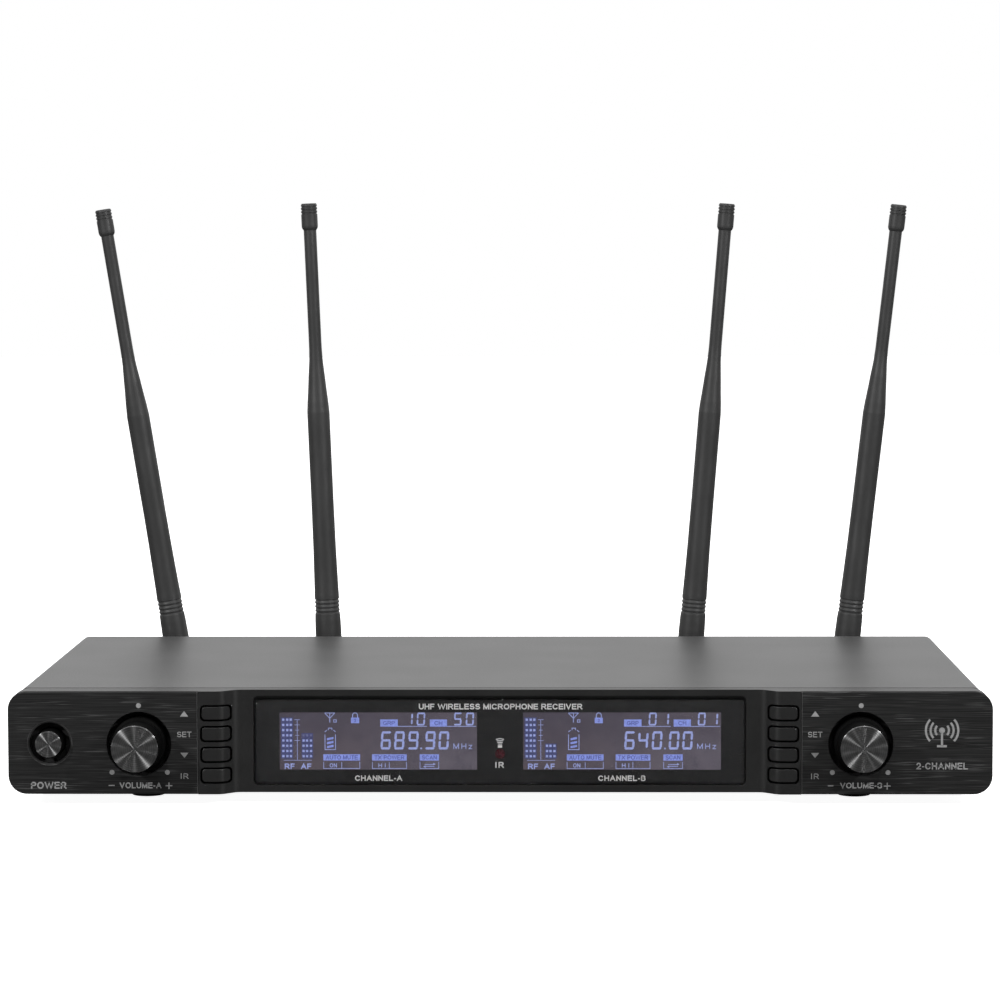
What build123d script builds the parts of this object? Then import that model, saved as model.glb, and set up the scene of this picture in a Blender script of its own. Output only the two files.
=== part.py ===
from build123d import *
import os
from math import sqrt

# Two-channel wireless microphone receiver, one rack unit high, with four folding antennas.
# Millimetres. Seen from the front, +X is right, +Y is back and +Z is up. The origin is on the
# table, under the middle of the unit's whole outline.
# A "depth" is measured back from the face of the front panel's ends, and a "height" up from the
# panel's lower edge. y_at and z_at turn them into Y and Z.

# Front panel
panel_width = 421.4
panel_height = 44.4  # one rack unit
panel_corner = 8.0
panel_depth = 12.0
panel_wall = 2.2
panel_skin = 3.0  # from the shaped face to the hollow behind it
dish_depth = 6.2  # the middle of the face lies this far behind its ends
dish_edge = 119.1  # where the slope into the middle would start if it were not rounded
dish_blend = 5.0
plate_thickness = 1.0
plate_inner_edge = 129.0

# Case
case_width = 415.0
case_depth = 208.0
case_top = 44.5
case_bottom = 0.5
case_corner = 4.0
sheet = 1.2
seam = 0.2
sheet_slack = 0.3  # between the cover's sheet and what slips inside it
lift = 5.0  # the panel's lower edge above the table
wall_outside = 207.0  # depth of the rear wall's outer face
wall_inside = wall_outside - sheet
flange_face = case_width / 2 - sheet - sheet_slack  # outer face of the chassis's side flanges

# Front controls
control_height = 21.8
knob_x = 154.35
knob_reach = 16.0  # how far the knob's face stands in front of the panel
knob_well_radius = 13.75
knob_well_depth = 8.0
power_x = 192.65
power_well_radius = 8.8
power_well_depth = 6.0
power_reach = 4.5
power_height = control_height + 0.3
key_x = 121.45
key_heights = [8.03 + 8.97 * row for row in range(4)]
key_names = ["ir", "down", "set", "up"]
key_width, key_height, key_corner = 11.8, 5.6, 1.6
key_hole_corner = 2.0
key_gap = 0.8
key_travel = 0.8

# Display
window_width, window_height, window_middle = 211.6, 38.7, 22.35
lcd_centres = [-52.2, 52.6]
lcd_width, lcd_height, lcd_middle = 85.0, 24.8, 21.85
led_x, led_height, led_hole = 0.2, 16.3, 2.2
board_face = 15.5  # depth of the display board's front face

# Rear sockets and antennas
socket_height = 22.0
bnc_x = [-161.0, -87.5, 89.5, 166.0]
antenna_lean = [-9.15, -2.3, 4.6, 6.45]  # degrees towards +X
pivot_depth = 233.0
antenna_radius = 6.4
whip_length = 233.5
xlr_x = [-37.0, 37.0]
line_x = 0.0
dc_x = -124.0

# Fasteners: one pan-head screw, 3 mm, is used all over the unit
screw_radius = 1.48
screw_hole = 1.5
clearance_hole = 1.6
screw_head_radius = 2.75
screw_head_height = 1.7
screw_head_round = 0.7
cross_width, cross_slot, cross_depth = 3.0, 0.6, 1.1

# The outline runs from the knobs' faces to the back of the antennas, and its middle is Y = 0.
overall_depth = knob_reach + pivot_depth + antenna_radius
front_y = knob_reach - overall_depth / 2


def y_at(depth):
    return front_y + depth


def z_at(height):
    return lift + height


def facing(depth):
    """An upright plane that faces the front: its X and Y are the unit's X and Z."""
    return Plane(origin=(0, y_at(depth), 0), x_dir=(1, 0, 0), z_dir=(0, -1, 0))


def dished_region(offset, back):
    """The panel seen from above, from its shaped face set back by offset to a flat back."""
    half = panel_width / 2
    ends, middle = y_at(offset), y_at(offset + dish_depth)
    inner = dish_edge - dish_depth
    with BuildSketch(Plane.XY, mode=Mode.PRIVATE) as region:
        with BuildLine():
            face = FilletPolyline(
                (-half, ends),
                (-dish_edge, ends),
                (-inner, middle),
                (inner, middle),
                (dish_edge, ends),
                (half, ends),
                radius=dish_blend,
            )
            Polyline(face @ 1, (half, y_at(back)), (-half, y_at(back)), face @ 0)
        make_face()
    return region.sketch


def dished_block(offset, back, low, high):
    """A block with the panel's shaped face, between two heights."""
    with BuildPart(mode=Mode.PRIVATE) as block:
        with Locations((0, 0, z_at(low))):
            add(dished_region(offset, back))
        extrude(amount=high - low)
    return block.part


def turned_front(x, height, profile):
    """A solid turned about a front-to-back axis, from (radius, depth) points."""
    with BuildPart(mode=Mode.PRIVATE) as solid:
        with BuildSketch(Plane.XY.offset(z_at(height))):
            with BuildLine():
                Polyline([(x + radius, y_at(depth)) for radius, depth in profile], close=True)
            make_face()
        revolve(axis=Axis((x, 0, z_at(height)), (0, 1, 0)))
    return solid.part


def turned_upright(profile):
    """A solid turned about the Z axis, from (radius, z) points."""
    with BuildPart(mode=Mode.PRIVATE) as solid:
        with BuildSketch(Plane.XZ):
            with BuildLine():
                Polyline(profile, close=True)
            make_face()
        revolve(axis=Axis.Z)
    return solid.part


def pan_screw(length):
    """A cross-head screw with its head above Z = 0 and its shank below."""
    with BuildPart(mode=Mode.PRIVATE) as screw:
        Cylinder(screw_head_radius, screw_head_height, align=(Align.CENTER, Align.CENTER, Align.MIN))
        fillet(screw.edges().sort_by(Axis.Z)[-1:], screw_head_round)
        Cylinder(screw_radius, length, align=(Align.CENTER, Align.CENTER, Align.MAX))
        with BuildSketch(Plane.XY.offset(screw_head_height)):
            Rectangle(cross_width, cross_slot)
            Rectangle(cross_slot, cross_width)
        extrude(amount=-cross_depth, mode=Mode.SUBTRACT)
    return screw.part


def save(part, name):
    part.label = name
    export_step(part, f"parts/{name}.step")


os.makedirs("parts", exist_ok=True)
mid_height = panel_height / 2
side_signs = (-1, 1)

# ---------------------------------------------------------------- front panel
# A one-piece moulding: shaped face, wells for the knobs and the power button, a stepped window
# frame, eight key holes and bosses for the screws behind it.
window_step = 3.0  # depth of the ledge that carries the window
window_corner = 2.4
aperture_width, aperture_height, aperture_corner = 204.0, 32.0, 3.0
well_floor = 1.5
power_floor = 2.0
pot_hole, button_hole = 3.6, 6.4  # radii of the holes in the wells' floors
boss_radius, post_radius = 3.2, 2.6
boss_sink, post_sink = 7.0, 6.0  # how deep the screws' holes go
root_overlap = 0.5  # bosses and tubes reach this far into the skin they stand on
frame_edge = 111.2  # the hollow ends start here, from the centre
lip_width, lip_reach, lip_thickness = 404.0, 4.0, 1.8
tab_height = 9.5
panel_screw_spots = [(s * x, 6.0) for s in side_signs for x in (136.0, 178.0)]
board_post_spots = [(s * 106.0, h) for s in side_signs for h in (6.5, 37.5)]
switch_post_offset = 13.5
switch_post_spots = [(-power_x, control_height + s * switch_post_offset) for s in side_signs]
switch_post_end = 14.2
knob_spots = [(s * knob_x, z_at(control_height)) for s in side_signs]
power_spot = (-power_x, z_at(power_height))
key_spots = [(s * key_x, z_at(h)) for s in side_signs for h in key_heights]

with BuildPart() as end_hollows:
    add(dished_block(panel_skin, panel_depth, panel_wall, panel_height - panel_wall))
    with BuildSketch(facing(panel_depth)):
        with Locations((0, z_at(mid_height))):
            RectangleRounded(
                panel_width - 2 * panel_wall, panel_height - 2 * panel_wall, panel_corner - panel_wall
            )
            Rectangle(2 * frame_edge, panel_height, mode=Mode.SUBTRACT)
    extrude(amount=panel_depth, mode=Mode.INTERSECT)

with BuildPart() as front_panel:
    add(dished_block(0, panel_depth, 0, panel_height))
    with BuildSketch(facing(panel_depth)):
        with Locations((0, z_at(mid_height))):
            RectangleRounded(panel_width, panel_height, panel_corner)
    extrude(amount=panel_depth, mode=Mode.INTERSECT)
    add(end_hollows.part, mode=Mode.SUBTRACT)
    with BuildSketch(facing(plate_thickness)):
        with Locations((0, z_at(mid_height))):
            Rectangle(panel_width, panel_height)
            Rectangle(2 * plate_inner_edge, panel_height, mode=Mode.SUBTRACT)
    extrude(amount=plate_thickness, mode=Mode.SUBTRACT)
    # well tubes with their floors
    with BuildSketch(facing(knob_well_depth + well_floor)):
        with Locations(*knob_spots):
            Circle(knob_well_radius + well_floor)
    extrude(amount=knob_well_depth + well_floor - panel_skin + root_overlap)
    with BuildSketch(facing(power_well_depth + power_floor)):
        with Locations(power_spot):
            Circle(power_well_radius + well_floor)
    extrude(amount=power_well_depth + power_floor - panel_skin + root_overlap)
    with BuildSketch(facing(knob_well_depth)):
        with Locations(*knob_spots):
            Circle(knob_well_radius)
    extrude(amount=knob_well_depth, mode=Mode.SUBTRACT)
    with BuildSketch(facing(power_well_depth)):
        with Locations(power_spot):
            Circle(power_well_radius)
    extrude(amount=power_well_depth, mode=Mode.SUBTRACT)
    with BuildSketch(facing(panel_depth)):
        with Locations(*knob_spots):
            Circle(pot_hole)
        with Locations(power_spot):
            Circle(button_hole)
    extrude(amount=panel_depth, mode=Mode.SUBTRACT)
    # window frame
    with BuildSketch(facing(dish_depth + window_step)):
        with Locations((0, z_at(window_middle))):
            RectangleRounded(window_width, window_height, window_corner)
    extrude(amount=panel_depth, mode=Mode.SUBTRACT)
    with BuildSketch(facing(panel_depth)):
        with Locations((0, z_at(lcd_middle))):
            RectangleRounded(aperture_width, aperture_height, aperture_corner)
    extrude(amount=panel_depth, mode=Mode.SUBTRACT)
    # key holes
    with BuildSketch(facing(panel_depth)):
        with Locations(*key_spots):
            RectangleRounded(key_width + 2 * key_gap, key_height + 2 * key_gap, key_hole_corner)
    extrude(amount=panel_depth, mode=Mode.SUBTRACT)
    # bosses and posts
    with BuildSketch(facing(panel_depth)):
        with Locations(*[(x, z_at(h)) for x, h in panel_screw_spots]):
            Circle(boss_radius)
    extrude(amount=panel_depth - panel_skin + root_overlap)
    with BuildSketch(facing(board_face)):
        with Locations(*[(x, z_at(h)) for x, h in board_post_spots]):
            Circle(post_radius)
    extrude(amount=board_face - panel_depth + root_overlap)
    with BuildSketch(facing(switch_post_end)):
        with Locations(*[(x, z_at(h)) for x, h in switch_post_spots]):
            Circle(post_radius)
    extrude(amount=switch_post_end - panel_skin + root_overlap)
    # a locating lip that slips under the cover
    with Locations((0, y_at(panel_depth + lip_reach), z_at(case_top - sheet - sheet_slack))):
        Box(
            lip_width,
            lip_reach + 1.0,
            lip_thickness,
            align=(Align.CENTER, Align.MAX, Align.MAX),
        )
    # screw holes, from behind
    with BuildSketch(facing(panel_depth)):
        with Locations(*[(x, z_at(h)) for x, h in panel_screw_spots]):
            Circle(screw_hole)
    extrude(amount=boss_sink, mode=Mode.SUBTRACT)
    with BuildSketch(facing(board_face)):
        with Locations(*[(x, z_at(h)) for x, h in board_post_spots]):
            Circle(screw_hole)
    extrude(amount=post_sink, mode=Mode.SUBTRACT)
    with BuildSketch(facing(switch_post_end)):
        with Locations(*[(x, z_at(h)) for x, h in switch_post_spots]):
            Circle(screw_hole)
    extrude(amount=boss_sink, mode=Mode.SUBTRACT)
save(front_panel.part, "front_panel")

# Brushed plates on the panel's two ends, with a bevelled rim round the power button
plate_inset = 0.2
plate_bevel, power_bevel = 0.2, 0.8
with BuildPart() as trim_plates:
    with BuildSketch(facing(plate_thickness)):
        with Locations((0, z_at(mid_height))):
            RectangleRounded(
                panel_width - 2 * plate_inset, panel_height - 2 * plate_inset, panel_corner - plate_inset
            )
            Rectangle(2 * plate_inner_edge + plate_inset, panel_height, mode=Mode.SUBTRACT)
        with Locations(*knob_spots):
            Circle(knob_well_radius, mode=Mode.SUBTRACT)
        with Locations(power_spot):
            Circle(power_well_radius, mode=Mode.SUBTRACT)
    extrude(amount=plate_thickness)
    front_edges = trim_plates.faces().filter_by(Plane.XZ).group_by(Axis.Y)[0].edges()
    rims = front_edges.filter_by(GeomType.CIRCLE).filter_by(lambda e: e.radius > panel_corner)
    power_rim = rims.sort_by(lambda e: e.radius)[:1]
    chamfer(power_rim, power_bevel)
    front_edges = trim_plates.faces().filter_by(Plane.XZ).group_by(Axis.Y)[0].edges()
    chamfer(front_edges, plate_bevel)
save(trim_plates.part, "trim_plates")

# ---------------------------------------------------------------- window and display
window_bottom, window_top = 3.75, 40.0
window_middle_height = (window_bottom + window_top) / 2
window_side_gap = 0.95
pane_corner, pane_edge, mask_corner = 2.0, 0.35, 1.8
mask_inset = 0.25
mask_thickness = 0.18
window_face = dish_depth + 0.8
window_back = dish_depth + window_step - 0.2

with BuildPart() as display_window:
    with BuildSketch(facing(window_back)):
        with Locations((0, z_at(window_middle_height))):
            RectangleRounded(
                window_width - 2 * window_side_gap, window_top - window_bottom, pane_corner
            )
    extrude(amount=window_back - window_face)
    fillet(display_window.faces().sort_by(Axis.Y)[0].edges(), pane_edge)
save(display_window.part, "display_window")

with BuildPart() as window_mask:
    with BuildSketch(facing(dish_depth + window_step)):
        with Locations((0, z_at(window_middle_height))):
            RectangleRounded(
                window_width - 2 * (window_side_gap + mask_inset),
                window_top - window_bottom - 2 * mask_inset,
                mask_corner,
            )
        with Locations(*[(x, z_at(lcd_middle)) for x in lcd_centres]):
            Rectangle(lcd_width, lcd_height, mode=Mode.SUBTRACT)
        with Locations((led_x, z_at(led_height))):
            Circle(led_hole, mode=Mode.SUBTRACT)
    extrude(amount=mask_thickness)
save(window_mask.part, "window_mask")

lcd_face = dish_depth + window_step + 0.3
lcd_back = lcd_face + 2.6
lcd_border_x, lcd_border_z = 2.0, 2.2
lcd_spots = [(x, z_at(lcd_middle)) for x in lcd_centres]
backlight_inset, backlight_corner = 0.5, 0.8

with BuildPart() as lcd_panels:
    with BuildSketch(facing(lcd_back)):
        with Locations(*lcd_spots):
            Rectangle(lcd_width + 2 * lcd_border_x, lcd_height + 2 * lcd_border_z)
    extrude(amount=lcd_back - lcd_face)
save(lcd_panels.part, "lcd_panels")

with BuildPart() as lcd_backlights:
    with BuildSketch(facing(board_face)):
        with Locations(*lcd_spots):
            RectangleRounded(
                lcd_width + 2 * (lcd_border_x - backlight_inset),
                lcd_height + 2 * (lcd_border_z - backlight_inset),
                backlight_corner,
            )
    extrude(amount=board_face - lcd_back)
save(lcd_backlights.part, "lcd_backlights")

board_thickness, board_corner = 1.6, 2.0
display_board_width, display_board_height, display_board_middle = 260.0, 36.0, 22.0
display_board_back = board_face + board_thickness
with BuildPart() as display_board:
    with BuildSketch(facing(display_board_back)):
        with Locations((0, z_at(display_board_middle))):
            RectangleRounded(display_board_width, display_board_height, board_corner)
        with Locations(*[(x, z_at(h)) for x, h in board_post_spots]):
            Circle(screw_hole, mode=Mode.SUBTRACT)
    extrude(amount=display_board_back - board_face)
save(display_board.part, "display_board")

led_tip = dish_depth + window_step + 1.0
led_profile = [
    (0, led_tip), (1.2, led_tip + 0.3), (2.0, led_tip + 1.0), (2.4, led_tip + 2.4),
    (2.4, board_face - 1.0), (2.9, board_face - 1.0), (2.9, board_face), (0, board_face),
]
with BuildPart() as ir_led:
    add(turned_front(led_x, led_height, led_profile))
save(ir_led.part, "ir_led")

# ---------------------------------------------------------------- keys
# Each key's face follows the shaped panel, and a flange behind the skin keeps it in.
key_flange_front = 9.4
key_flange_width, key_flange_height, key_flange_corner = 14.6, 8.2, 0.8
key_edge = 0.3
key_slack = 0.1  # the keys' faces lie this far behind the panel's
key_back = 10.4
switch_tip = key_back + key_travel + 0.15
switch_width, switch_corner = 6.0, 0.5
plunger_radius, plunger_reach = 1.7, 0.5

with BuildPart() as key_switches:
    with BuildSketch(facing(board_face)):
        with Locations(*key_spots):
            RectangleRounded(switch_width, switch_width, switch_corner)
    extrude(amount=board_face - switch_tip - plunger_reach)
    with BuildSketch(facing(board_face)):
        with Locations(*key_spots):
            Circle(plunger_radius)
    extrude(amount=board_face - switch_tip)
save(key_switches.part, "key_switches")

for side, channel in zip(side_signs, "ab"):
    for height, key_name in zip(key_heights, key_names):
        low, high = height - key_height / 2, height + key_height / 2
        with BuildPart() as key:
            add(dished_block(key_slack, key_back, low, high))
            with BuildSketch(facing(key_back)):
                with Locations((side * key_x, z_at(height))):
                    RectangleRounded(key_width, key_height, key_corner)
            extrude(amount=key_back, mode=Mode.INTERSECT)
            rim = key.edges().filter_by(lambda e: e.center().Y < y_at(dish_depth))
            fillet(rim.filter_by(Axis.Y, reverse=True), key_edge)
            with BuildSketch(facing(key_back)):
                with Locations((side * key_x, z_at(height))):
                    RectangleRounded(key_flange_width, key_flange_height, key_flange_corner)
            extrude(amount=key_back - key_flange_front)
        save(key.part, f"key_{key_name}_{channel}")

# ---------------------------------------------------------------- volume controls
pot_front = knob_well_depth + well_floor + 0.1
pot_back = pot_front + 10.0
pot_radius, bushing_radius = 8.2, 3.5
terminal_width, terminal_height, terminal_drop = 12.0, 4.0, 9.0
bushing_tip = 4.6
shaft_radius = 3.0
shaft_tip = -9.0
shaft_tail = pot_front + 1.2
nut_thickness, nut_across = 2.0, 10.0
thread_slack = 0.02
shaft_slack = 0.05
shaft_end_gap = 0.3
flat_width = 2.4
flat_end = bushing_tip - 1.0

with BuildPart() as volume_pots:
    with BuildSketch(facing(pot_back)):
        with Locations(*knob_spots):
            Circle(pot_radius)
        with Locations(*[(x, z - terminal_drop) for x, z in knob_spots]):
            Rectangle(terminal_width, terminal_height)
    extrude(amount=pot_back - pot_front)
    with BuildSketch(facing(pot_front)):
        with Locations(*knob_spots):
            Circle(bushing_radius)
    extrude(amount=pot_front - bushing_tip)
    with BuildSketch(facing(shaft_tail + shaft_end_gap)):
        with Locations(*knob_spots):
            Circle(shaft_radius + shaft_slack)
    extrude(amount=shaft_tail + shaft_end_gap - bushing_tip, mode=Mode.SUBTRACT)
save(volume_pots.part, "volume_pots")

with BuildPart() as pot_nuts:
    with BuildSketch(facing(knob_well_depth)):
        with Locations(*knob_spots):
            RegularPolygon(nut_across / sqrt(3), 6)
            Circle(bushing_radius + thread_slack, mode=Mode.SUBTRACT)
    extrude(amount=nut_thickness)
save(pot_nuts.part, "pot_nuts")

cap_radius = 10.0
cap_back = -knob_reach + 0.7
knob_profile = [
    (0, cap_back), (cap_radius + 0.1, cap_back), (cap_radius + 0.4, cap_back + 0.4),
    (cap_radius + 0.4, -2.6), (11.3, -2.3), (11.5, -2.0), (11.5, knob_well_depth - 1.4),
    (8.6, knob_well_depth - 1.4), (8.6, -4.0), (5.0, -4.0), (5.0, bushing_tip - 0.4),
    (shaft_radius + 0.01, bushing_tip - 0.4), (shaft_radius + 0.01, shaft_tip - 0.1),
    (0, shaft_tip - 0.1),
]
cap_profile = [
    (0, cap_back), (cap_radius, cap_back), (cap_radius, -knob_reach + 0.25),
    (cap_radius - 0.25, -knob_reach), (0, -knob_reach),
]
for side, channel in zip(side_signs, "ab"):
    x = side * knob_x
    with BuildPart() as volume_knob:
        add(turned_front(x, control_height, knob_profile))
    save(volume_knob.part, f"volume_knob_{channel}")
    with BuildPart() as knob_cap:
        add(turned_front(x, control_height, cap_profile))
    save(knob_cap.part, f"knob_cap_{channel}")
    with BuildPart() as pot_shaft:
        with BuildSketch(facing(shaft_tail)):
            with Locations((x, z_at(control_height))):
                Circle(shaft_radius)
        extrude(amount=shaft_tail - shaft_tip)
        with BuildSketch(facing(flat_end)):
            with Locations((x, z_at(control_height + shaft_radius))):
                Rectangle(2 * shaft_radius, flat_width)
        extrude(amount=flat_end - shaft_tip, mode=Mode.SUBTRACT)
    save(pot_shaft.part, f"pot_shaft_{channel}")

# ---------------------------------------------------------------- power button
button_back = 11.6
button_face = -power_reach + 0.5
button_profile = [
    (0, button_face), (5.7, button_face), (6.0, button_face + 0.3), (6.0, 9.0), (7.4, 9.0),
    (7.4, 10.2), (6.0, 10.2), (6.0, button_back), (0, button_back),
]
button_cap_profile = [
    (0, button_face), (5.65, button_face), (5.65, -power_reach + 0.2),
    (5.45, -power_reach), (0, -power_reach),
]
with BuildPart() as power_button:
    add(turned_front(-power_x, power_height, button_profile))
save(power_button.part, "power_button")

with BuildPart() as power_button_cap:
    add(turned_front(-power_x, power_height, button_cap_profile))
save(power_button_cap.part, "power_button_cap")

switch_plate = 1.2
switch_plate_width, switch_plate_height, switch_plate_corner = 12.0, 34.0, 1.5
switch_plate_back = switch_post_end + switch_plate
switch_body, switch_body_length = 8.5, 13.0
switch_pin_width, switch_pin_height, switch_pin_length = 0.4, 1.0, 4.0
switch_pin_pitch_x, switch_pin_pitch_z = 4.0, 2.5
with BuildPart() as power_switch:
    with BuildSketch(facing(switch_plate_back)):
        with Locations((-power_x, z_at(control_height))):
            RectangleRounded(switch_plate_width, switch_plate_height, switch_plate_corner)
        with Locations(*[(x, z_at(h)) for x, h in switch_post_spots]):
            Circle(screw_hole, mode=Mode.SUBTRACT)
    extrude(amount=switch_plate)
    with BuildSketch(facing(switch_plate_back + switch_body_length)):
        with Locations((-power_x, z_at(control_height))):
            RectangleRounded(switch_body, switch_body, switch_corner)
    extrude(amount=switch_body_length)
    with BuildSketch(facing(switch_plate_back + switch_body_length + switch_pin_length)):
        with Locations((-power_x, z_at(control_height))):
            with GridLocations(switch_pin_pitch_x, switch_pin_pitch_z, 2, 3):
                Rectangle(switch_pin_width, switch_pin_height)
    extrude(amount=switch_pin_length)
save(power_switch.part, "power_switch")

# ---------------------------------------------------------------- case
foot_x, foot_depths = 154.3, (33.0, 180.0)
foot_spots = [(s * foot_x, y_at(depth)) for s in side_signs for depth in foot_depths]
side_screw_depths = [30.0, 110.0, 190.0]
side_screw_height = 8.0
flange_height, flange_setback = 14.0, 2.0
tab_x, tab_width = 158.0, 56.0
wall_corner, bend_radius = 3.2, 1.0
bnc_hole, xlr_hole, line_hole, dc_hole = 6.1, 12.0, 4.8, 5.6
xlr_screw_dx, xlr_screw_dz = 9.5, 12.0
xlr_screw_spots = [
    (x + s * xlr_screw_dx, socket_height - s * xlr_screw_dz) for x in xlr_x for s in side_signs
]
bnc_spots = [(x, z_at(socket_height)) for x in bnc_x]
xlr_spots = [(x, z_at(socket_height)) for x in xlr_x]
floor_top = case_bottom + sheet

# Tray: floor, low side flanges, two front tabs and the full-height rear wall
with BuildPart() as base_chassis:
    with Locations((0, y_at(wall_outside), z_at(case_bottom))):
        Box(
            2 * flange_face,
            wall_outside - panel_depth,
            sheet,
            align=(Align.CENTER, Align.MAX, Align.MIN),
        )
    for side in side_signs:
        with Locations((side * (flange_face - sheet / 2), y_at(wall_outside), z_at(case_bottom))):
            Box(
                sheet,
                wall_outside - panel_depth - flange_setback,
                flange_height,
                align=(Align.CENTER, Align.MAX, Align.MIN),
            )
        with Locations((side * tab_x, y_at(panel_depth), z_at(case_bottom))):
            Box(tab_width, sheet, tab_height, align=(Align.CENTER, Align.MIN, Align.MIN))
    with BuildSketch(facing(wall_outside)):
        with Locations((0, z_at(case_bottom))):
            Rectangle(
                2 * flange_face,
                case_top - sheet - sheet_slack - case_bottom,
                align=(Align.CENTER, Align.MIN),
            )
    extrude(amount=sheet)
    fillet(base_chassis.edges().filter_by(Axis.Y).group_by(Axis.Z)[-1], wall_corner)
    bend = base_chassis.edges().filter_by(Axis.X).filter_by(
        lambda e: e.center().Y > y_at(wall_outside) - 0.1 and e.center().Z < z_at(floor_top)
    )
    fillet(bend, bend_radius)
    with BuildSketch(facing(wall_outside)):
        with Locations(*bnc_spots):
            Circle(bnc_hole)
        with Locations(*xlr_spots):
            Circle(xlr_hole)
        with Locations(*[(x, z_at(h)) for x, h in xlr_screw_spots]):
            Circle(screw_hole)
        with Locations((line_x, z_at(socket_height))):
            Circle(line_hole)
        with Locations((dc_x, z_at(socket_height))):
            Circle(dc_hole)
    extrude(amount=sheet, mode=Mode.SUBTRACT)
    with BuildSketch(facing(panel_depth + sheet)):
        with Locations(*[(x, z_at(h)) for x, h in panel_screw_spots]):
            Circle(screw_hole)
    extrude(amount=sheet, mode=Mode.SUBTRACT)
    with BuildSketch(Plane.XY.offset(z_at(case_bottom))):
        with Locations(*foot_spots):
            Circle(screw_hole)
    extrude(amount=sheet, mode=Mode.SUBTRACT)
    with BuildSketch(Plane.YZ.offset(-case_width / 2)):
        with Locations(*[(y_at(d), z_at(side_screw_height)) for d in side_screw_depths]):
            Circle(screw_hole)
    extrude(amount=case_width, mode=Mode.SUBTRACT)
save(base_chassis.part, "base_chassis")

# Cover: one sheet bent down at both sides, with cooling slots in them
vent_depths = [72.0 + 6.0 * i for i in range(12)]
vent_height, vent_length, vent_width = 26.0, 16.0, 2.4
with BuildPart() as top_cover:
    with BuildSketch(facing(case_depth)) as cover_section:
        with Locations((0, z_at(case_bottom))):
            Rectangle(case_width, case_top - case_bottom, align=(Align.CENTER, Align.MIN))
        fillet(cover_section.vertices().group_by(Axis.Y)[-1], case_corner)
    extrude(amount=case_depth - panel_depth - seam)
    with BuildSketch(facing(case_depth)) as cover_inside:
        with Locations((0, z_at(case_bottom))):
            Rectangle(
                case_width - 2 * sheet, case_top - case_bottom - sheet, align=(Align.CENTER, Align.MIN)
            )
        fillet(cover_inside.vertices().group_by(Axis.Y)[-1], case_corner - sheet)
    extrude(amount=case_depth, mode=Mode.SUBTRACT)
    with BuildSketch(Plane.YZ.offset(-case_width / 2)):
        with Locations(*[(y_at(d), z_at(side_screw_height)) for d in side_screw_depths]):
            Circle(clearance_hole)
        with Locations(*[(y_at(d), z_at(vent_height)) for d in vent_depths]):
            SlotOverall(vent_length, vent_width, rotation=90)
    extrude(amount=case_width, mode=Mode.SUBTRACT)
save(top_cover.part, "top_cover")

# Feet: turned rubber discs with a well for the screw
foot_top = lift + case_bottom
foot_well = 2.6
foot_radius = 8.0
foot_profile = [
    (1.6, foot_well), (3.6, foot_well), (3.6, 0), (foot_radius - 1.0, 0), (foot_radius - 0.5, 0.5),
    (foot_radius, foot_top - 0.6), (foot_radius, foot_top), (1.6, foot_top),
]
foot = turned_upright(foot_profile)
with BuildPart() as feet:
    with Locations(*foot_spots):
        add(foot)
save(feet.part, "feet")

cover_screw = pan_screw(5.0)
foot_screw = pan_screw(6.5)
with BuildPart() as case_screws:
    for depth in side_screw_depths:
        for side in side_signs:
            spot = (side * case_width / 2, y_at(depth), z_at(side_screw_height))
            with Locations(Location(spot, (0, side * 90, 0))):
                add(cover_screw)
    for x, y in foot_spots:
        with Locations(Location((x, y, foot_well), (180, 0, 0))):
            add(foot_screw)
save(case_screws.part, "case_screws")

# ---------------------------------------------------------------- inside
board_under = 9.5
board_over = board_under + board_thickness
board_width, board_front, board_back = 300.0, 45.0, 175.0
standoff_across = 5.0
standoff_spots = [(x, y_at(d)) for x in (-142.0, 0.0, 142.0) for d in (53.0, 167.0)]

with BuildPart() as board_standoffs:
    with BuildSketch(Plane.XY.offset(z_at(floor_top))):
        with Locations(*standoff_spots):
            RegularPolygon(standoff_across / sqrt(3), 6)
            Circle(screw_hole, mode=Mode.SUBTRACT)
    extrude(amount=board_under - floor_top)
save(board_standoffs.part, "board_standoffs")

with BuildPart() as main_board:
    with BuildSketch(Plane.XY.offset(z_at(board_under))):
        with Locations((0, y_at((board_front + board_back) / 2))):
            RectangleRounded(board_width, board_back - board_front, board_corner)
        with Locations(*standoff_spots):
            Circle(screw_hole, mode=Mode.SUBTRACT)
    extrude(amount=board_thickness)
save(main_board.part, "main_board")

rf_x = [-85.0, 90.0]
rf_back, rf_height = 163.0, 7.5
rf_width, rf_length, rf_corner, rf_edge = 72.0, 45.0, 1.5, 0.6
with BuildPart() as rf_modules:
    with BuildSketch(Plane.XY.offset(z_at(board_over))):
        with Locations(*[(x, y_at(rf_back)) for x in rf_x]):
            Rectangle(rf_width, rf_length, align=(Align.CENTER, Align.MAX))
    extrude(amount=rf_height)
    fillet(rf_modules.edges().filter_by(Axis.Z), rf_corner)
    fillet(rf_modules.faces().sort_by(Axis.Z)[-2:].edges(), rf_edge)
save(rf_modules.part, "rf_modules")

capacitor_profile = [
    (0, 0), (6.0, 0), (6.25, 0.4), (6.25, 2.0), (5.9, 2.5), (6.25, 3.0), (6.25, 19.4), (5.7, 20.0),
    (4.6, 20.0), (4.6, 19.7), (0, 19.7),
]
capacitor = turned_upright(capacitor_profile)
capacitor_spots = [(x, y_at(d)) for x in (-120.0, -102.0, -84.0) for d in (75.0, 93.0)]
with BuildPart() as filter_capacitors:
    with Locations(*[(x, y, z_at(board_over)) for x, y in capacitor_spots]):
        add(capacitor)
save(filter_capacitors.part, "filter_capacitors")

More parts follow.
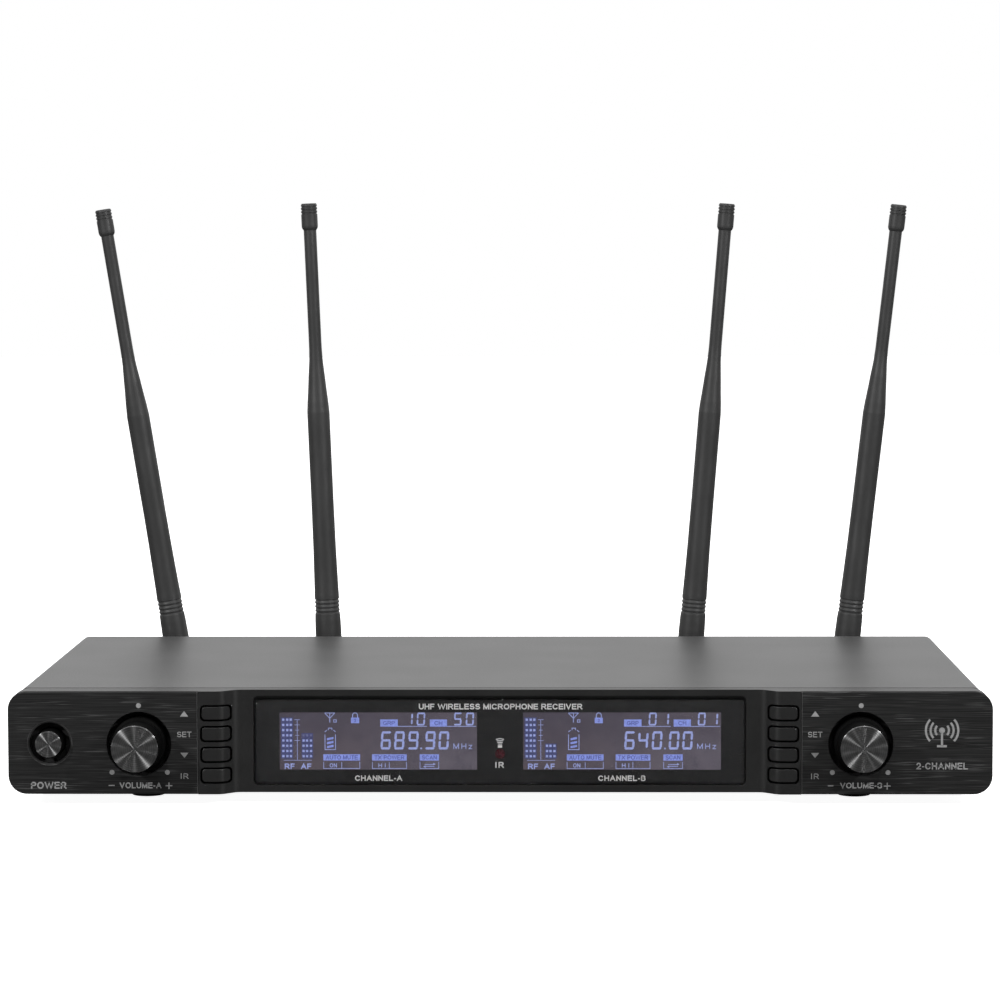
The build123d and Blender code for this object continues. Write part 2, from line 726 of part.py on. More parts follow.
# A flat ribbon from the back of the display board down to the main board
ribbon_x, ribbon_width, ribbon_thickness, ribbon_bend = 50.0, 24.0, 0.9, 3.0
with BuildPart() as ribbon_cable:
    with BuildSketch(Plane.YZ.offset(ribbon_x - ribbon_width / 2)):
        with BuildLine():
            FilletPolyline(
                (y_at(display_board_back), z_at(16.0)),
                (y_at(27.0), z_at(16.0)),
                (y_at(35.0), z_at(23.0)),
                (y_at(47.0), z_at(23.0)),
                (y_at(52.0), z_at(board_over)),
                radius=ribbon_bend,
            )
        trace(line_width=ribbon_thickness)
    extrude(amount=ribbon_width)
    with Locations((ribbon_x, 0, z_at(board_over))):
        Box(
            3 * ribbon_width,
            case_depth,
            20.0,
            align=(Align.CENTER, Align.CENTER, Align.MAX),
            mode=Mode.SUBTRACT,
        )
save(ribbon_cable.part, "ribbon_cable")

# Coaxial leads from the antenna sockets to the two receiver modules
bnc_tail = 190.0
lead_radius, lead_bend = 0.9, 5.0
lead_drop_start, lead_drop_end = 179.0, 174.0
lead_entries = [-113.0, -60.0, 64.0, 118.0]
lead_height = board_over + 4.0
with BuildPart() as coax_leads:
    for start_x, end_x in zip(bnc_x, lead_entries):
        with BuildLine() as lead_path:
            FilletPolyline(
                (start_x, y_at(bnc_tail), z_at(socket_height)),
                (start_x, y_at(lead_drop_start), z_at(socket_height)),
                (end_x, y_at(lead_drop_end), z_at(lead_height)),
                (end_x, y_at(rf_back), z_at(lead_height)),
                radius=lead_bend,
            )
        with BuildSketch(Plane(origin=lead_path.line @ 0, z_dir=lead_path.line % 0)):
            Circle(lead_radius)
        sweep(path=lead_path.line)
save(coax_leads.part, "coax_leads")

panel_screw = pan_screw(6.0)
board_screw = pan_screw(5.0)
with BuildPart() as inner_screws:
    for x, height in panel_screw_spots:
        with Locations(Location((x, y_at(panel_depth + sheet), z_at(height)), (-90, 0, 0))):
            add(panel_screw)
    for x, height in board_post_spots:
        with Locations(Location((x, y_at(display_board_back), z_at(height)), (-90, 0, 0))):
            add(board_screw)
    for x, height in switch_post_spots:
        with Locations(Location((x, y_at(switch_plate_back), z_at(height)), (-90, 0, 0))):
            add(board_screw)
    with Locations(*[(x, y, z_at(board_over)) for x, y in standoff_spots]):
        add(board_screw)
save(inner_screws.part, "inner_screws")

# ---------------------------------------------------------------- rear sockets
barrel_tip = 219.5
barrel_radius, barrel_bore, barrel_bore_depth = 4.8, 3.6, 8.5
thread_radius, thread_length = 6.0, 11.0
bnc_flange_across, bnc_flange = 14.0, 2.5
bnc_nut_across, bnc_nut = 15.0, 2.6
bnc_tail_radius = 1.3
stud_radius, stud_span, stud_depth = 0.95, 11.0, 216.0
with BuildPart() as bnc_jacks:
    with BuildSketch(facing(wall_outside + bnc_flange)):
        with Locations(*bnc_spots):
            RegularPolygon(bnc_flange_across / sqrt(3), 6)
    extrude(amount=bnc_flange)
    with BuildSketch(facing(wall_outside)):
        with Locations(*bnc_spots):
            Circle(thread_radius)
    extrude(amount=thread_length)
    with BuildSketch(facing(wall_outside - thread_length)):
        with Locations(*bnc_spots):
            Circle(bnc_tail_radius)
    extrude(amount=wall_outside - thread_length - bnc_tail)
    with BuildSketch(facing(barrel_tip)):
        with Locations(*bnc_spots):
            Circle(barrel_radius)
    extrude(amount=barrel_tip - wall_outside)
    for x, z in bnc_spots:
        with Locations(Location((x, y_at(stud_depth), z), (0, 90, 0))):
            Cylinder(stud_radius, stud_span)
    with BuildSketch(facing(barrel_tip)):
        with Locations(*bnc_spots):
            Circle(barrel_bore)
    extrude(amount=barrel_bore_depth, mode=Mode.SUBTRACT)
save(bnc_jacks.part, "bnc_jacks")

with BuildPart() as bnc_nuts:
    with BuildSketch(facing(wall_inside)):
        with Locations(*bnc_spots):
            RegularPolygon(bnc_nut_across / sqrt(3), 6)
            Circle(thread_radius + thread_slack, mode=Mode.SUBTRACT)
    extrude(amount=bnc_nut)
save(bnc_nuts.part, "bnc_nuts")

xlr_face = wall_outside + 2.0
well_back = 192.5
shell_back = 188.0
xlr_flange_width, xlr_flange_height, xlr_flange_corner = 26.0, 31.0, 2.6
shell_radius, xlr_well = 11.8, 9.5
latch_slot_width, latch_slot_height = 3.6, 2.4
contact_radius, contact_slack, contact_round = 1.2, 0.02, 0.8
contact_tip, contact_tail = 205.5, 184.0
contact_offsets = [(-3.6, 1.7), (3.6, 1.7), (0.0, -4.0)]
contact_spots = [(x + dx, z_at(socket_height + dz)) for x in xlr_x for dx, dz in contact_offsets]

with BuildPart() as xlr_outputs:
    with BuildSketch(facing(xlr_face)):
        with Locations(*xlr_spots):
            RectangleRounded(xlr_flange_width, xlr_flange_height, xlr_flange_corner)
        with Locations(*[(x, z_at(h)) for x, h in xlr_screw_spots]):
            Circle(clearance_hole, mode=Mode.SUBTRACT)
    extrude(amount=xlr_face - wall_outside)
    with BuildSketch(facing(wall_outside)):
        with Locations(*xlr_spots):
            Circle(shell_radius)
    extrude(amount=wall_outside - shell_back)
    with BuildSketch(facing(xlr_face)):
        with Locations(*xlr_spots):
            Circle(xlr_well)
        with Locations(*[(x, z + xlr_well) for x, z in xlr_spots]):
            Rectangle(latch_slot_width, latch_slot_height)
    extrude(amount=xlr_face - well_back, mode=Mode.SUBTRACT)
    with BuildSketch(facing(well_back)):
        with Locations(*contact_spots):
            Circle(contact_radius + contact_slack)
    extrude(amount=well_back - shell_back, mode=Mode.SUBTRACT)
save(xlr_outputs.part, "xlr_outputs")

with BuildPart() as xlr_contacts:
    with BuildSketch(facing(contact_tip)):
        with Locations(*contact_spots):
            Circle(contact_radius)
    extrude(amount=contact_tip - contact_tail)
    fillet(xlr_contacts.edges().filter_by(GeomType.CIRCLE).group_by(Axis.Y)[-1], contact_round)
save(xlr_contacts.part, "xlr_contacts")

xlr_screw = pan_screw(8.0)
with BuildPart() as xlr_screws:
    for x, height in xlr_screw_spots:
        with Locations(Location((x, y_at(xlr_face), z_at(height)), (-90, 0, 0))):
            add(xlr_screw)
save(xlr_screws.part, "xlr_screws")

line_tip, line_bore_length = 211.0, 30.0
line_barrel, line_bore = 4.7, 3.2
line_body, line_body_length = 16.0, 28.0
socket_body_corner = 1.5
with BuildPart() as line_jack:
    with Locations((line_x, y_at(wall_inside), z_at(socket_height))):
        Box(line_body, line_body_length, line_body, align=(Align.CENTER, Align.MAX, Align.CENTER))
    fillet(line_jack.edges().filter_by(Axis.Y), socket_body_corner)
    with BuildSketch(facing(line_tip)):
        with Locations((line_x, z_at(socket_height))):
            Circle(line_barrel)
    extrude(amount=line_tip - wall_inside)
    with BuildSketch(facing(line_tip)):
        with Locations((line_x, z_at(socket_height))):
            Circle(line_bore)
    extrude(amount=line_bore_length, mode=Mode.SUBTRACT)
save(line_jack.part, "line_jack")

dc_tip, dc_bore_length = 210.2, 9.5
dc_barrel, dc_bore, dc_pin, dc_pin_sink = 5.5, 2.85, 1.0, 1.0
dc_body_width, dc_body_length, dc_body_height = 13.0, 14.0, 12.0
with BuildPart() as dc_jack:
    with Locations((dc_x, y_at(wall_inside), z_at(socket_height))):
        Box(
            dc_body_width,
            dc_body_length,
            dc_body_height,
            align=(Align.CENTER, Align.MAX, Align.CENTER),
        )
    fillet(dc_jack.edges().filter_by(Axis.Y), socket_body_corner)
    with BuildSketch(facing(dc_tip)):
        with Locations((dc_x, z_at(socket_height))):
            Circle(dc_barrel)
    extrude(amount=dc_tip - wall_inside)
    with BuildSketch(facing(dc_tip)):
        with Locations((dc_x, z_at(socket_height))):
            Circle(dc_bore)
    extrude(amount=dc_bore_length, mode=Mode.SUBTRACT)
    with BuildSketch(facing(dc_tip - dc_pin_sink)):
        with Locations((dc_x, z_at(socket_height))):
            Circle(dc_pin)
    extrude(amount=dc_bore_length)
save(dc_jack.part, "dc_jack")

line_nut_across, dc_nut_across, socket_nut = 13.0, 14.0, 2.2
with BuildPart() as socket_nuts:
    with BuildSketch(facing(wall_outside + socket_nut)):
        with Locations((line_x, z_at(socket_height))):
            RegularPolygon(line_nut_across / sqrt(3), 6)
            Circle(line_barrel + thread_slack, mode=Mode.SUBTRACT)
        with Locations((dc_x, z_at(socket_height))):
            RegularPolygon(dc_nut_across / sqrt(3), 6)
            Circle(dc_barrel + thread_slack, mode=Mode.SUBTRACT)
    extrude(amount=socket_nut)
save(socket_nuts.part, "socket_nuts")

# ---------------------------------------------------------------- antennas
# Each antenna is drawn about its pivot: the whip stands along +Z, the hinge pin lies along X and
# the plug runs forward along -Y into its socket.
fork_radius = 6.2
tongue_half = 2.4
fork_slot_half = 2.5
fork_slot_top = 6.6
pin_radius = 1.5
elbow_back = -7.5
plug_front = 212.0 - pivot_depth
neck_front = 220.0 - pivot_depth
body_front = 223.0 - pivot_depth
collar_front = 210.0 - pivot_depth
collar_back = 222.6 - pivot_depth
collar_radius, collar_bore, collar_recess = 7.3, 5.05, 5.85
collar_lip, collar_bevel = 2.2, 0.5
knurl_start, knurl_length, knurl_count, knurl_radius = 1.8, 6.5, 30, 0.5
tongue_radius, tongue_height = 6.0, 9.6
pin_length, pin_bevel, pin_slack = 10.8, 0.3, 0.05
fork_block = 8.0  # height of the whip's foot above its pin

with BuildPart() as collar_shape:
    with BuildSketch(Plane.XZ.offset(-collar_back)):
        Circle(collar_radius)
        Circle(collar_bore, mode=Mode.SUBTRACT)
    extrude(amount=collar_back - collar_front)
    collar_rims = collar_shape.edges().filter_by(GeomType.CIRCLE)
    collar_rims = collar_rims.filter_by(lambda e: e.radius > collar_bore + 1.0)
    chamfer(collar_rims, collar_bevel)
    with BuildSketch(Plane.XZ.offset(-collar_back + collar_lip)):
        Circle(collar_recess)
    extrude(amount=collar_back - collar_front, mode=Mode.SUBTRACT)
    with BuildSketch(Plane.XZ.offset(-collar_back + knurl_start)):
        with PolarLocations(collar_radius + 0.2, knurl_count):
            Circle(knurl_radius)
    extrude(amount=knurl_length, mode=Mode.SUBTRACT)

elbow_profile = [
    (0, plug_front), (2.9, plug_front), (3.2, plug_front + 0.3), (3.2, neck_front),
    (4.7, neck_front), (4.7, body_front), (5.7, body_front), (6.2, body_front + 0.5),
    (6.2, elbow_back), (0, elbow_back),
]
with BuildPart() as elbow_shape:
    with BuildSketch(Plane.XY):
        with BuildLine():
            Polyline(elbow_profile, close=True)
        make_face()
    revolve(axis=Axis.Y)
    with BuildSketch(Plane.YZ.offset(-tongue_half)):
        Circle(tongue_radius)
        with Locations((elbow_back - 0.5, 0)):
            Rectangle(-elbow_back + 0.5, tongue_height, align=(Align.MIN, Align.CENTER))
        Circle(pin_radius + 0.01, mode=Mode.SUBTRACT)
    extrude(amount=2 * tongue_half)

with BuildPart() as pin_shape:
    with Locations(Location((0, 0, 0), (0, 90, 0))):
        Cylinder(pin_radius, pin_length)
    chamfer(pin_shape.edges().filter_by(GeomType.CIRCLE), pin_bevel)

# Whip outline, from the fork up: ferrule, grip rings, thick sleeve, taper, thin rod and cap
ring_bottom, ring_top = 5.7, 6.05
ring_tops = [33.2, 35.2, 37.2, 39.2]
ring_points = []
for top in ring_tops:
    ring_points += [(ring_bottom, top - 1.2), (ring_bottom, top - 0.8)]
    ring_points += [(ring_top, top - 0.6), (ring_top, top - 0.1)]
cap_outside, cap_inside = 4.0, 3.7
cap_grooves = [whip_length - drop for drop in (4.8, 3.2, 1.6)]
groove_points = []
for level in cap_grooves:
    groove_points += [(cap_outside, level - 0.5), (cap_inside, level - 0.35)]
    groove_points += [(cap_inside, level + 0.25), (cap_outside, level + 0.4)]
whip_outline = (
    [(0, 6.7), (antenna_radius, 6.7), (antenna_radius, 23.0), (6.3, 28.0), (6.15, 31.0), (6.05, 31.6)]
    + ring_points
    + [(6.05, 40.4), (5.95, 43.0), (5.62, 63.0), (5.5, 88.0), (5.5, 131.0), (5.15, 136.0)]
    + [(4.62, 141.6), (4.06, 148.6), (3.38, 156.2), (3.14, 161.6), (3.1, 165.6), (3.1, 220.4)]
    + [(3.5, 220.9), (3.9, 221.7), (cap_outside, 222.6)]
    + groove_points
    + [(cap_outside - 0.15, whip_length - 0.5), (cap_outside - 0.5, whip_length), (0, whip_length)]
)
with BuildPart() as whip_shape:
    add(turned_upright(whip_outline))
    with BuildSketch(Plane.YZ.offset(-antenna_radius)):
        Circle(fork_radius)
        Rectangle(2 * fork_radius, fork_block, align=(Align.CENTER, Align.MIN))
    extrude(amount=2 * antenna_radius)
    with BuildSketch(Plane.XY.offset(-fork_radius)):
        Rectangle(30, 30)
        Circle(antenna_radius, mode=Mode.SUBTRACT)
    extrude(amount=2 * fork_radius + 4.0, mode=Mode.SUBTRACT)
    with Locations((0, 0, fork_slot_top)):
        Box(
            2 * fork_slot_half,
            30,
            20,
            align=(Align.CENTER, Align.CENTER, Align.MAX),
            mode=Mode.SUBTRACT,
        )
    with Locations(Location((0, 0, 0), (0, 90, 0))):
        Cylinder(pin_radius + pin_slack, 30, mode=Mode.SUBTRACT)

for number, (x, lean) in enumerate(zip(bnc_x, antenna_lean), start=1):
    pivot = (x, y_at(pivot_depth), z_at(socket_height))
    with BuildPart() as antenna_collar:
        with Locations(Location(pivot)):
            add(collar_shape.part)
    save(antenna_collar.part, f"antenna_collar_{number}")
    with BuildPart() as antenna_elbow:
        with Locations(Location(pivot, (0, lean, 0))):
            add(elbow_shape.part)
            add(pin_shape.part)
    save(antenna_elbow.part, f"antenna_elbow_{number}")
    with BuildPart() as antenna_whip:
        with Locations(Location(pivot, (0, lean, 0))):
            add(whip_shape.part)
    save(antenna_whip.part, f"antenna_whip_{number}")
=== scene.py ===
import math

import bmesh
import bpy
from mathutils import Matrix, Vector


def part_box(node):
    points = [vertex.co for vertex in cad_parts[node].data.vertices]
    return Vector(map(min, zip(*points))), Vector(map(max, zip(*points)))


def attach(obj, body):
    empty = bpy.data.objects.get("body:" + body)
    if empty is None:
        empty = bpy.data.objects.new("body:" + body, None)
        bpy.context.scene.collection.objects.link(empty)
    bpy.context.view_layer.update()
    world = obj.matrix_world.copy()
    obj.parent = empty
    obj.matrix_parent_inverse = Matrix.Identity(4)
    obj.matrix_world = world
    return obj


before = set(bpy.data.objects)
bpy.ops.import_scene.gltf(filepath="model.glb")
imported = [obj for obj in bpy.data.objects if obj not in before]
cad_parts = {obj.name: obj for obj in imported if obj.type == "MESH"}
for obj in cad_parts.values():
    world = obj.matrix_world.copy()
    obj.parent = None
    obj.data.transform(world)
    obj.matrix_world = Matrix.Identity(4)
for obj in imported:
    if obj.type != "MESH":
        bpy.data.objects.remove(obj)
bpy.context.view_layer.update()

# Two-channel wireless microphone receiver: finishes, printing, displays and a plain studio.
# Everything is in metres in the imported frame. Places on the front are given as in the CAD: x from
# the middle, height above the panel's lower edge and depth behind the panel's face, in millimetres.
MM = 0.001
PLATE_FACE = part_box("trim_plates")[0].y
PANEL_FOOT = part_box("front_panel")[0].z
WINDOW_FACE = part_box("display_window")[0].y
LCD_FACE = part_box("lcd_panels")[0].y
REAR_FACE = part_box("base_chassis")[1].y

PLATE_SEAM = 129.0 * MM  # from the middle to the inner edge of an end plate
INK = 0.03 * MM  # how far printing stands proud of what it is printed on
RING_PITCH = 0.9  # of the lathe's rings on the spun discs
PANEL_LEVEL = 25  # display level of the panel's plastic
WELL_SHADE_LEVEL = 6  # display level of the painted shade inside wells and key holes
KNOB_WELL, POWER_WELL = 14.0, 9.0  # radius of the painted shade in the wells
KEY_HOLE_HALF_WIDTH, KEY_HOLE_HALF_HEIGHT = 6.75, 3.65
KEY_FACE_HALF_WIDTH, KEY_FACE_HALF_HEIGHT = 5.78, 2.68
BEVEL_HIGHLIGHT_INNER, BEVEL_HIGHLIGHT_OUTER = 8.7, 9.7  # radii of the painted highlight on the bevel round the power button
SEAM_HIGHLIGHT = 0.4  # width of the painted highlight along an end plate's edge at the seam
DISPLAY_CENTRES = {"a": -52.2, "b": 52.6}
DISPLAY_MIDDLE = 21.85  # height of the displays' middle
DISPLAY_HALF_WIDTH, DISPLAY_HALF_HEIGHT = 42.5, 12.4


def middle_of(node):
    """The middle of a CAD node's box."""
    low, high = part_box(node)
    return (low + high) / 2


def grey(level):
    """A neutral colour from its 0-255 display level."""
    return display_colour(level, level, level)


def display_colour(*levels):
    return tuple(((v / 255 + 0.055) / 1.055) ** 2.4 if v > 10 else v / 255 / 12.92 for v in levels)


# ---------------------------------------------------------------- materials
class Finish:
    """A procedural material: one Principled shader, fed by textures in the frame's own space."""

    def __init__(self, name, colour, roughness, metallic=0.0, **constants):
        self.material = bpy.data.materials.new(name)
        self.material.use_nodes = True
        self.tree = self.material.node_tree
        self.shader = self.tree.nodes["Principled BSDF"]
        self.place = self.node("ShaderNodeTexCoord").outputs["Object"]
        self.feed("Base Color", (*colour, 1.0))
        self.feed("Roughness", roughness)
        self.feed("Metallic", metallic)
        for socket, value in constants.items():
            self.feed(socket.replace("_", " "), value)

    def node(self, kind, **settings):
        made = self.tree.nodes.new(kind)
        for key, value in settings.items():
            setattr(made, key, value)
        return made

    def feed(self, socket, value):
        """Sets a shader input, or links it if value is another node's output."""
        target = self.shader.inputs[socket]
        if isinstance(value, bpy.types.NodeSocket):
            self.tree.links.new(value, target)
        else:
            target.default_value = value

    def maths(self, operation, *values, clamp=False):
        made = self.node("ShaderNodeMath", operation=operation, use_clamp=clamp)
        for slot, value in zip(made.inputs, values):
            if isinstance(value, bpy.types.NodeSocket):
                self.tree.links.new(value, slot)
            else:
                slot.default_value = value
        return made.outputs[0]

    def noise(self, size, detail=2.0, roughness=0.5, offset=0.0):
        """Noise with features of about size millimetres, or (x, y, z) sizes."""
        sizes = size if isinstance(size, tuple) else (size,) * 3
        mapping = self.node("ShaderNodeMapping")
        mapping.inputs["Scale"].default_value = [1 / (s * MM) for s in sizes]
        mapping.inputs["Location"].default_value = (offset, offset, offset)
        made = self.node("ShaderNodeTexNoise")
        made.inputs["Scale"].default_value = 1.0
        made.inputs["Detail"].default_value = detail
        made.inputs["Roughness"].default_value = roughness
        self.tree.links.new(self.place, mapping.inputs[0])
        self.tree.links.new(mapping.outputs[0], made.inputs["Vector"])
        return made.outputs["Fac"]

    def ramp(self, value, low, high, start=0.0, end=1.0):
        """value from low to high becomes start to end, and stays inside them."""
        made = self.node("ShaderNodeMapRange", interpolation_type="SMOOTHSTEP")
        self.tree.links.new(value, made.inputs["Value"])
        ends = {"From Min": low, "From Max": high, "To Min": start, "To Max": end}
        for name, number in ends.items():
            made.inputs[name].default_value = number
        return made.outputs["Result"]

    def mix(self, share, colour_a, colour_b):
        made = self.node("ShaderNodeMix", data_type="RGBA")
        self.tree.links.new(share, made.inputs["Factor"])
        for name, colour in (("A", colour_a), ("B", colour_b)):
            slot = [s for s in made.inputs if s.name == name and s.type == "RGBA"][0]
            if isinstance(colour, bpy.types.NodeSocket):
                self.tree.links.new(colour, slot)
            else:
                slot.default_value = (*colour, 1.0)
        return [s for s in made.outputs if s.type == "RGBA"][0]

    def relief(self, height, depth, strength=1.0):
        """Bumps of about depth millimetres."""
        made = self.node("ShaderNodeBump")
        made.inputs["Strength"].default_value = strength
        made.inputs["Distance"].default_value = depth * MM
        self.tree.links.new(height, made.inputs["Height"])
        self.feed("Normal", made.outputs["Normal"])

    def axes(self, centre=(0.0, 0.0, 0.0)):
        """The x, y and z outputs of the place, measured from centre."""
        moved = self.node("ShaderNodeVectorMath", operation="SUBTRACT")
        moved.inputs[1].default_value = centre
        self.tree.links.new(self.place, moved.inputs[0])
        split = self.node("ShaderNodeSeparateXYZ")
        self.tree.links.new(moved.outputs[0], split.inputs[0])
        return split.outputs


def powder_coat():
    """Fine-textured dark grey powder coat of the sheet-metal case."""
    f = Finish("powder_coat", grey(58), 0.42, Specular_IOR_Level=0.5)
    grain = f.noise(0.55, detail=3.0)
    patches = f.noise(38.0, detail=2.0)
    f.feed("Base Color", f.mix(f.ramp(patches, 0.3, 0.7), grey(54), grey(62)))
    f.feed("Roughness", f.ramp(grain, 0.3, 0.7, 0.38, 0.47))
    f.relief(grain, 0.03, 0.5)
    return f.material


def moulded_plastic(name, level, roughness=0.42, grain_size=0.35, grain_depth=0.02, shine=0.5):
    """Black plastic with the fine spark-eroded grain of its mould."""
    f = Finish(name, grey(level), roughness, Specular_IOR_Level=shine)
    grain = f.noise(grain_size, detail=2.0)
    wear = f.noise(14.0, detail=3.0)
    f.feed("Base Color", f.mix(f.ramp(wear, 0.35, 0.7), grey(level - 3), grey(level + 3)))
    f.feed("Roughness", f.ramp(grain, 0.3, 0.7, roughness - 0.06, roughness + 0.06))
    f.relief(grain, grain_depth, 0.6)
    return f.material


def half_box(f, across, up, half_width, half_height):
    """1 inside a box about (0, 0), 0 outside."""
    inside = f.maths("LESS_THAN", f.maths("ABSOLUTE", across), half_width * MM)
    level = f.maths("LESS_THAN", f.maths("ABSOLUTE", up), half_height * MM)
    return f.maths("MULTIPLY", inside, level)


def key_rows(f, x, z):
    """x and z as seen from the middle of the nearest key."""
    lowest, next_up = (sum(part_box(f"key_{row}_b"), Vector()) / 2 for row in ("ir", "down"))
    pitch = next_up.z - lowest.z
    across = f.maths("SUBTRACT", f.maths("ABSOLUTE", x), lowest.x)
    height = f.maths("SUBTRACT", z, lowest.z)
    row = f.maths("ROUND", f.maths("DIVIDE", height, pitch))
    row = f.maths("MINIMUM", f.maths("MAXIMUM", row, 0.0), 3.0)
    return across, f.maths("SUBTRACT", height, f.maths("MULTIPLY", row, pitch))


def round_mask(f, x, z, centre, radius):
    """1 within radius millimetres of a front-to-back axis through centre, 0 outside."""
    across, up = f.maths("SUBTRACT", x, centre[0]), f.maths("SUBTRACT", z, centre[2])
    square = f.maths("ADD", f.maths("MULTIPLY", across, across), f.maths("MULTIPLY", up, up))
    return f.maths("LESS_THAN", square, (radius * MM) ** 2)


def panel_plastic():
    """The panel's moulded plastic, matt and near black with painted shade inside its wells and key
    holes.
    """
    f = Finish("panel_plastic_black", grey(PANEL_LEVEL), 0.42)
    grain = f.noise(0.35, detail=2.0)
    wear = f.noise(14.0, detail=3.0)
    x, _, z = f.axes()
    across, up = key_rows(f, x, z)
    # the wells and key holes are painted dark as shade, not as the plastic's own colour
    painted_shade = half_box(f, across, up, KEY_HOLE_HALF_WIDTH, KEY_HOLE_HALF_HEIGHT)
    wells = {"volume_knob_a": KNOB_WELL, "volume_knob_b": KNOB_WELL, "power_button": POWER_WELL}
    for node, radius in wells.items():
        painted_shade = f.maths("MAXIMUM", painted_shade, round_mask(f, x, z, middle_of(node), radius))
    skin = f.mix(f.ramp(wear, 0.35, 0.7), grey(PANEL_LEVEL - 3), grey(PANEL_LEVEL + 3))
    f.feed("Base Color", f.mix(painted_shade, skin, grey(WELL_SHADE_LEVEL)))
    rough = f.ramp(grain, 0.3, 0.7, 0.36, 0.48)
    f.feed("Roughness", f.maths("ADD", rough, f.maths("MULTIPLY", painted_shade, 0.3), clamp=True))
    f.relief(grain, 0.02, 0.6)
    return f.material


def key_plastic():
    """The keys: as the panel, with painted shade down their sides."""
    f = Finish("key_plastic_black", grey(PANEL_LEVEL), 0.4)
    grain = f.noise(0.4, detail=2.0)
    x, _, z = f.axes()
    across, up = key_rows(f, x, z)
    face = half_box(f, across, up, KEY_FACE_HALF_WIDTH, KEY_FACE_HALF_HEIGHT)
    # outside the key face the colour is the painted shade level of the holes
    f.feed("Base Color", f.mix(face, grey(WELL_SHADE_LEVEL), grey(PANEL_LEVEL + 1)))
    f.feed("Roughness", f.ramp(grain, 0.3, 0.7, 0.32, 0.46))
    f.relief(grain, 0.015, 0.5)
    return f.material


def brushed_plate():
    """Black anodised aluminium, brushed from side to side."""
    f = Finish("brushed_plate", grey(36), 0.42, metallic=0.6, Anisotropic=0.7)
    hair = f.noise((36.0, 8.0, 0.32), detail=2.0, roughness=0.5)
    lines = f.noise((15.0, 8.0, 0.28), detail=0.0, offset=5.0)
    places = f.noise((34.0, 8.0, 5.0), detail=2.0, offset=11.0)
    # the glints are brighter streaks painted into the colour as highlights
    glints = f.maths("MULTIPLY", f.ramp(lines, 0.58, 0.7), f.ramp(places, 0.4, 0.62))
    base = f.mix(f.ramp(hair, 0.3, 0.7), grey(30), grey(57))
    x, _, z = f.axes()
    outer, inner = (
        round_mask(f, x, z, middle_of("power_button"), radius)
        for radius in (BEVEL_HIGHLIGHT_OUTER, BEVEL_HIGHLIGHT_INNER)
    )
    # the power button's bevel is painted bright as a highlight
    bevel_highlight = f.maths("SUBTRACT", outer, inner)
    surface = f.mix(bevel_highlight, f.mix(glints, base, grey(92)), grey(92))
    # a thin band along the seam is painted bright as a highlight on the plate's edge
    edge = f.maths("LESS_THAN", f.maths("ABSOLUTE", x), PLATE_SEAM + SEAM_HIGHLIGHT * MM)
    f.feed("Base Color", f.mix(edge, surface, grey(104)))
    rough = f.ramp(hair, 0.25, 0.75, 0.5, 0.36)
    f.feed("Roughness", f.maths("SUBTRACT", rough, f.maths("MULTIPLY", bevel_highlight, 0.1)))
    f.relief(hair, 0.012, 0.5)
    tangent = f.node("ShaderNodeCombineXYZ")
    tangent.inputs["Z"].default_value = 1.0
    f.feed("Tangent", tangent.outputs[0])
    return f.material


def spun_disc(name, centre):
    """Aluminium faced on a lathe: fine rings that light up along lines through the middle."""
    f = Finish(name, grey(110), 0.33, metallic=1.0, Anisotropic=1.0, Anisotropic_Rotation=0.25)
    x, _, z = f.axes(centre)
    radius = f.maths("SQRT", f.maths("ADD", f.maths("MULTIPLY", x, x), f.maths("MULTIPLY", z, z)))
    rings = f.maths("SINE", f.maths("MULTIPLY", radius, 2 * math.pi / (RING_PITCH * MM)))
    cut = f.noise(2.2, detail=3.0)
    streaks = f.mix(f.ramp(cut, 0.3, 0.7), grey(114), grey(134))
    f.feed("Base Color", f.mix(f.ramp(rings, -1.0, 1.0, 0.0, 0.4), streaks, grey(88)))
    f.feed("Roughness", f.ramp(cut, 0.3, 0.7, 0.35, 0.31))
    tangent = f.node("ShaderNodeTangent", direction_type="RADIAL", axis="Y")
    f.feed("Tangent", tangent.outputs[0])
    return f.material


def metal(name, level, roughness, tint=(0, 0, 0)):
    """Plated metal with a little unevenness in its shine."""
    colour = display_colour(*[level + t for t in tint])
    f = Finish(name, colour, roughness, metallic=1.0)
    haze = f.noise(1.8, detail=4.0)
    spots = f.noise(0.25, detail=2.0)
    worn = display_colour(*[level + t - 16 for t in tint])
    f.feed("Base Color", f.mix(f.ramp(haze, 0.35, 0.7), worn, colour))
    f.feed("Roughness", f.ramp(haze, 0.3, 0.7, roughness + 0.08, roughness - 0.04))
    f.relief(spots, 0.006, 0.3)
    return f.material


def rubber(name, level, roughness, grain_size=0.3):
    """Matt moulded rubber."""
    f = Finish(name, grey(level), roughness, Specular_IOR_Level=0.4)
    grain = f.noise(grain_size, detail=3.0)
    rubbed = f.noise((6.0, 6.0, 18.0), detail=3.0)
    f.feed("Base Color", f.mix(f.ramp(rubbed, 0.35, 0.7), grey(level - 4), grey(level + 5)))
    f.feed("Roughness", f.ramp(rubbed, 0.3, 0.7, roughness + 0.05, roughness - 0.05))
    f.relief(grain, 0.015, 0.5)
    return f.material


def acrylic():
    """Clear display window with a faint smoke tint."""
    f = Finish("acrylic", (0.86, 0.86, 0.88), 0.03, Transmission_Weight=1.0, IOR=1.49)
    film = f.noise(24.0, detail=2.0)
    f.feed("Roughness", f.ramp(film, 0.3, 0.7, 0.02, 0.05))
    return f.material


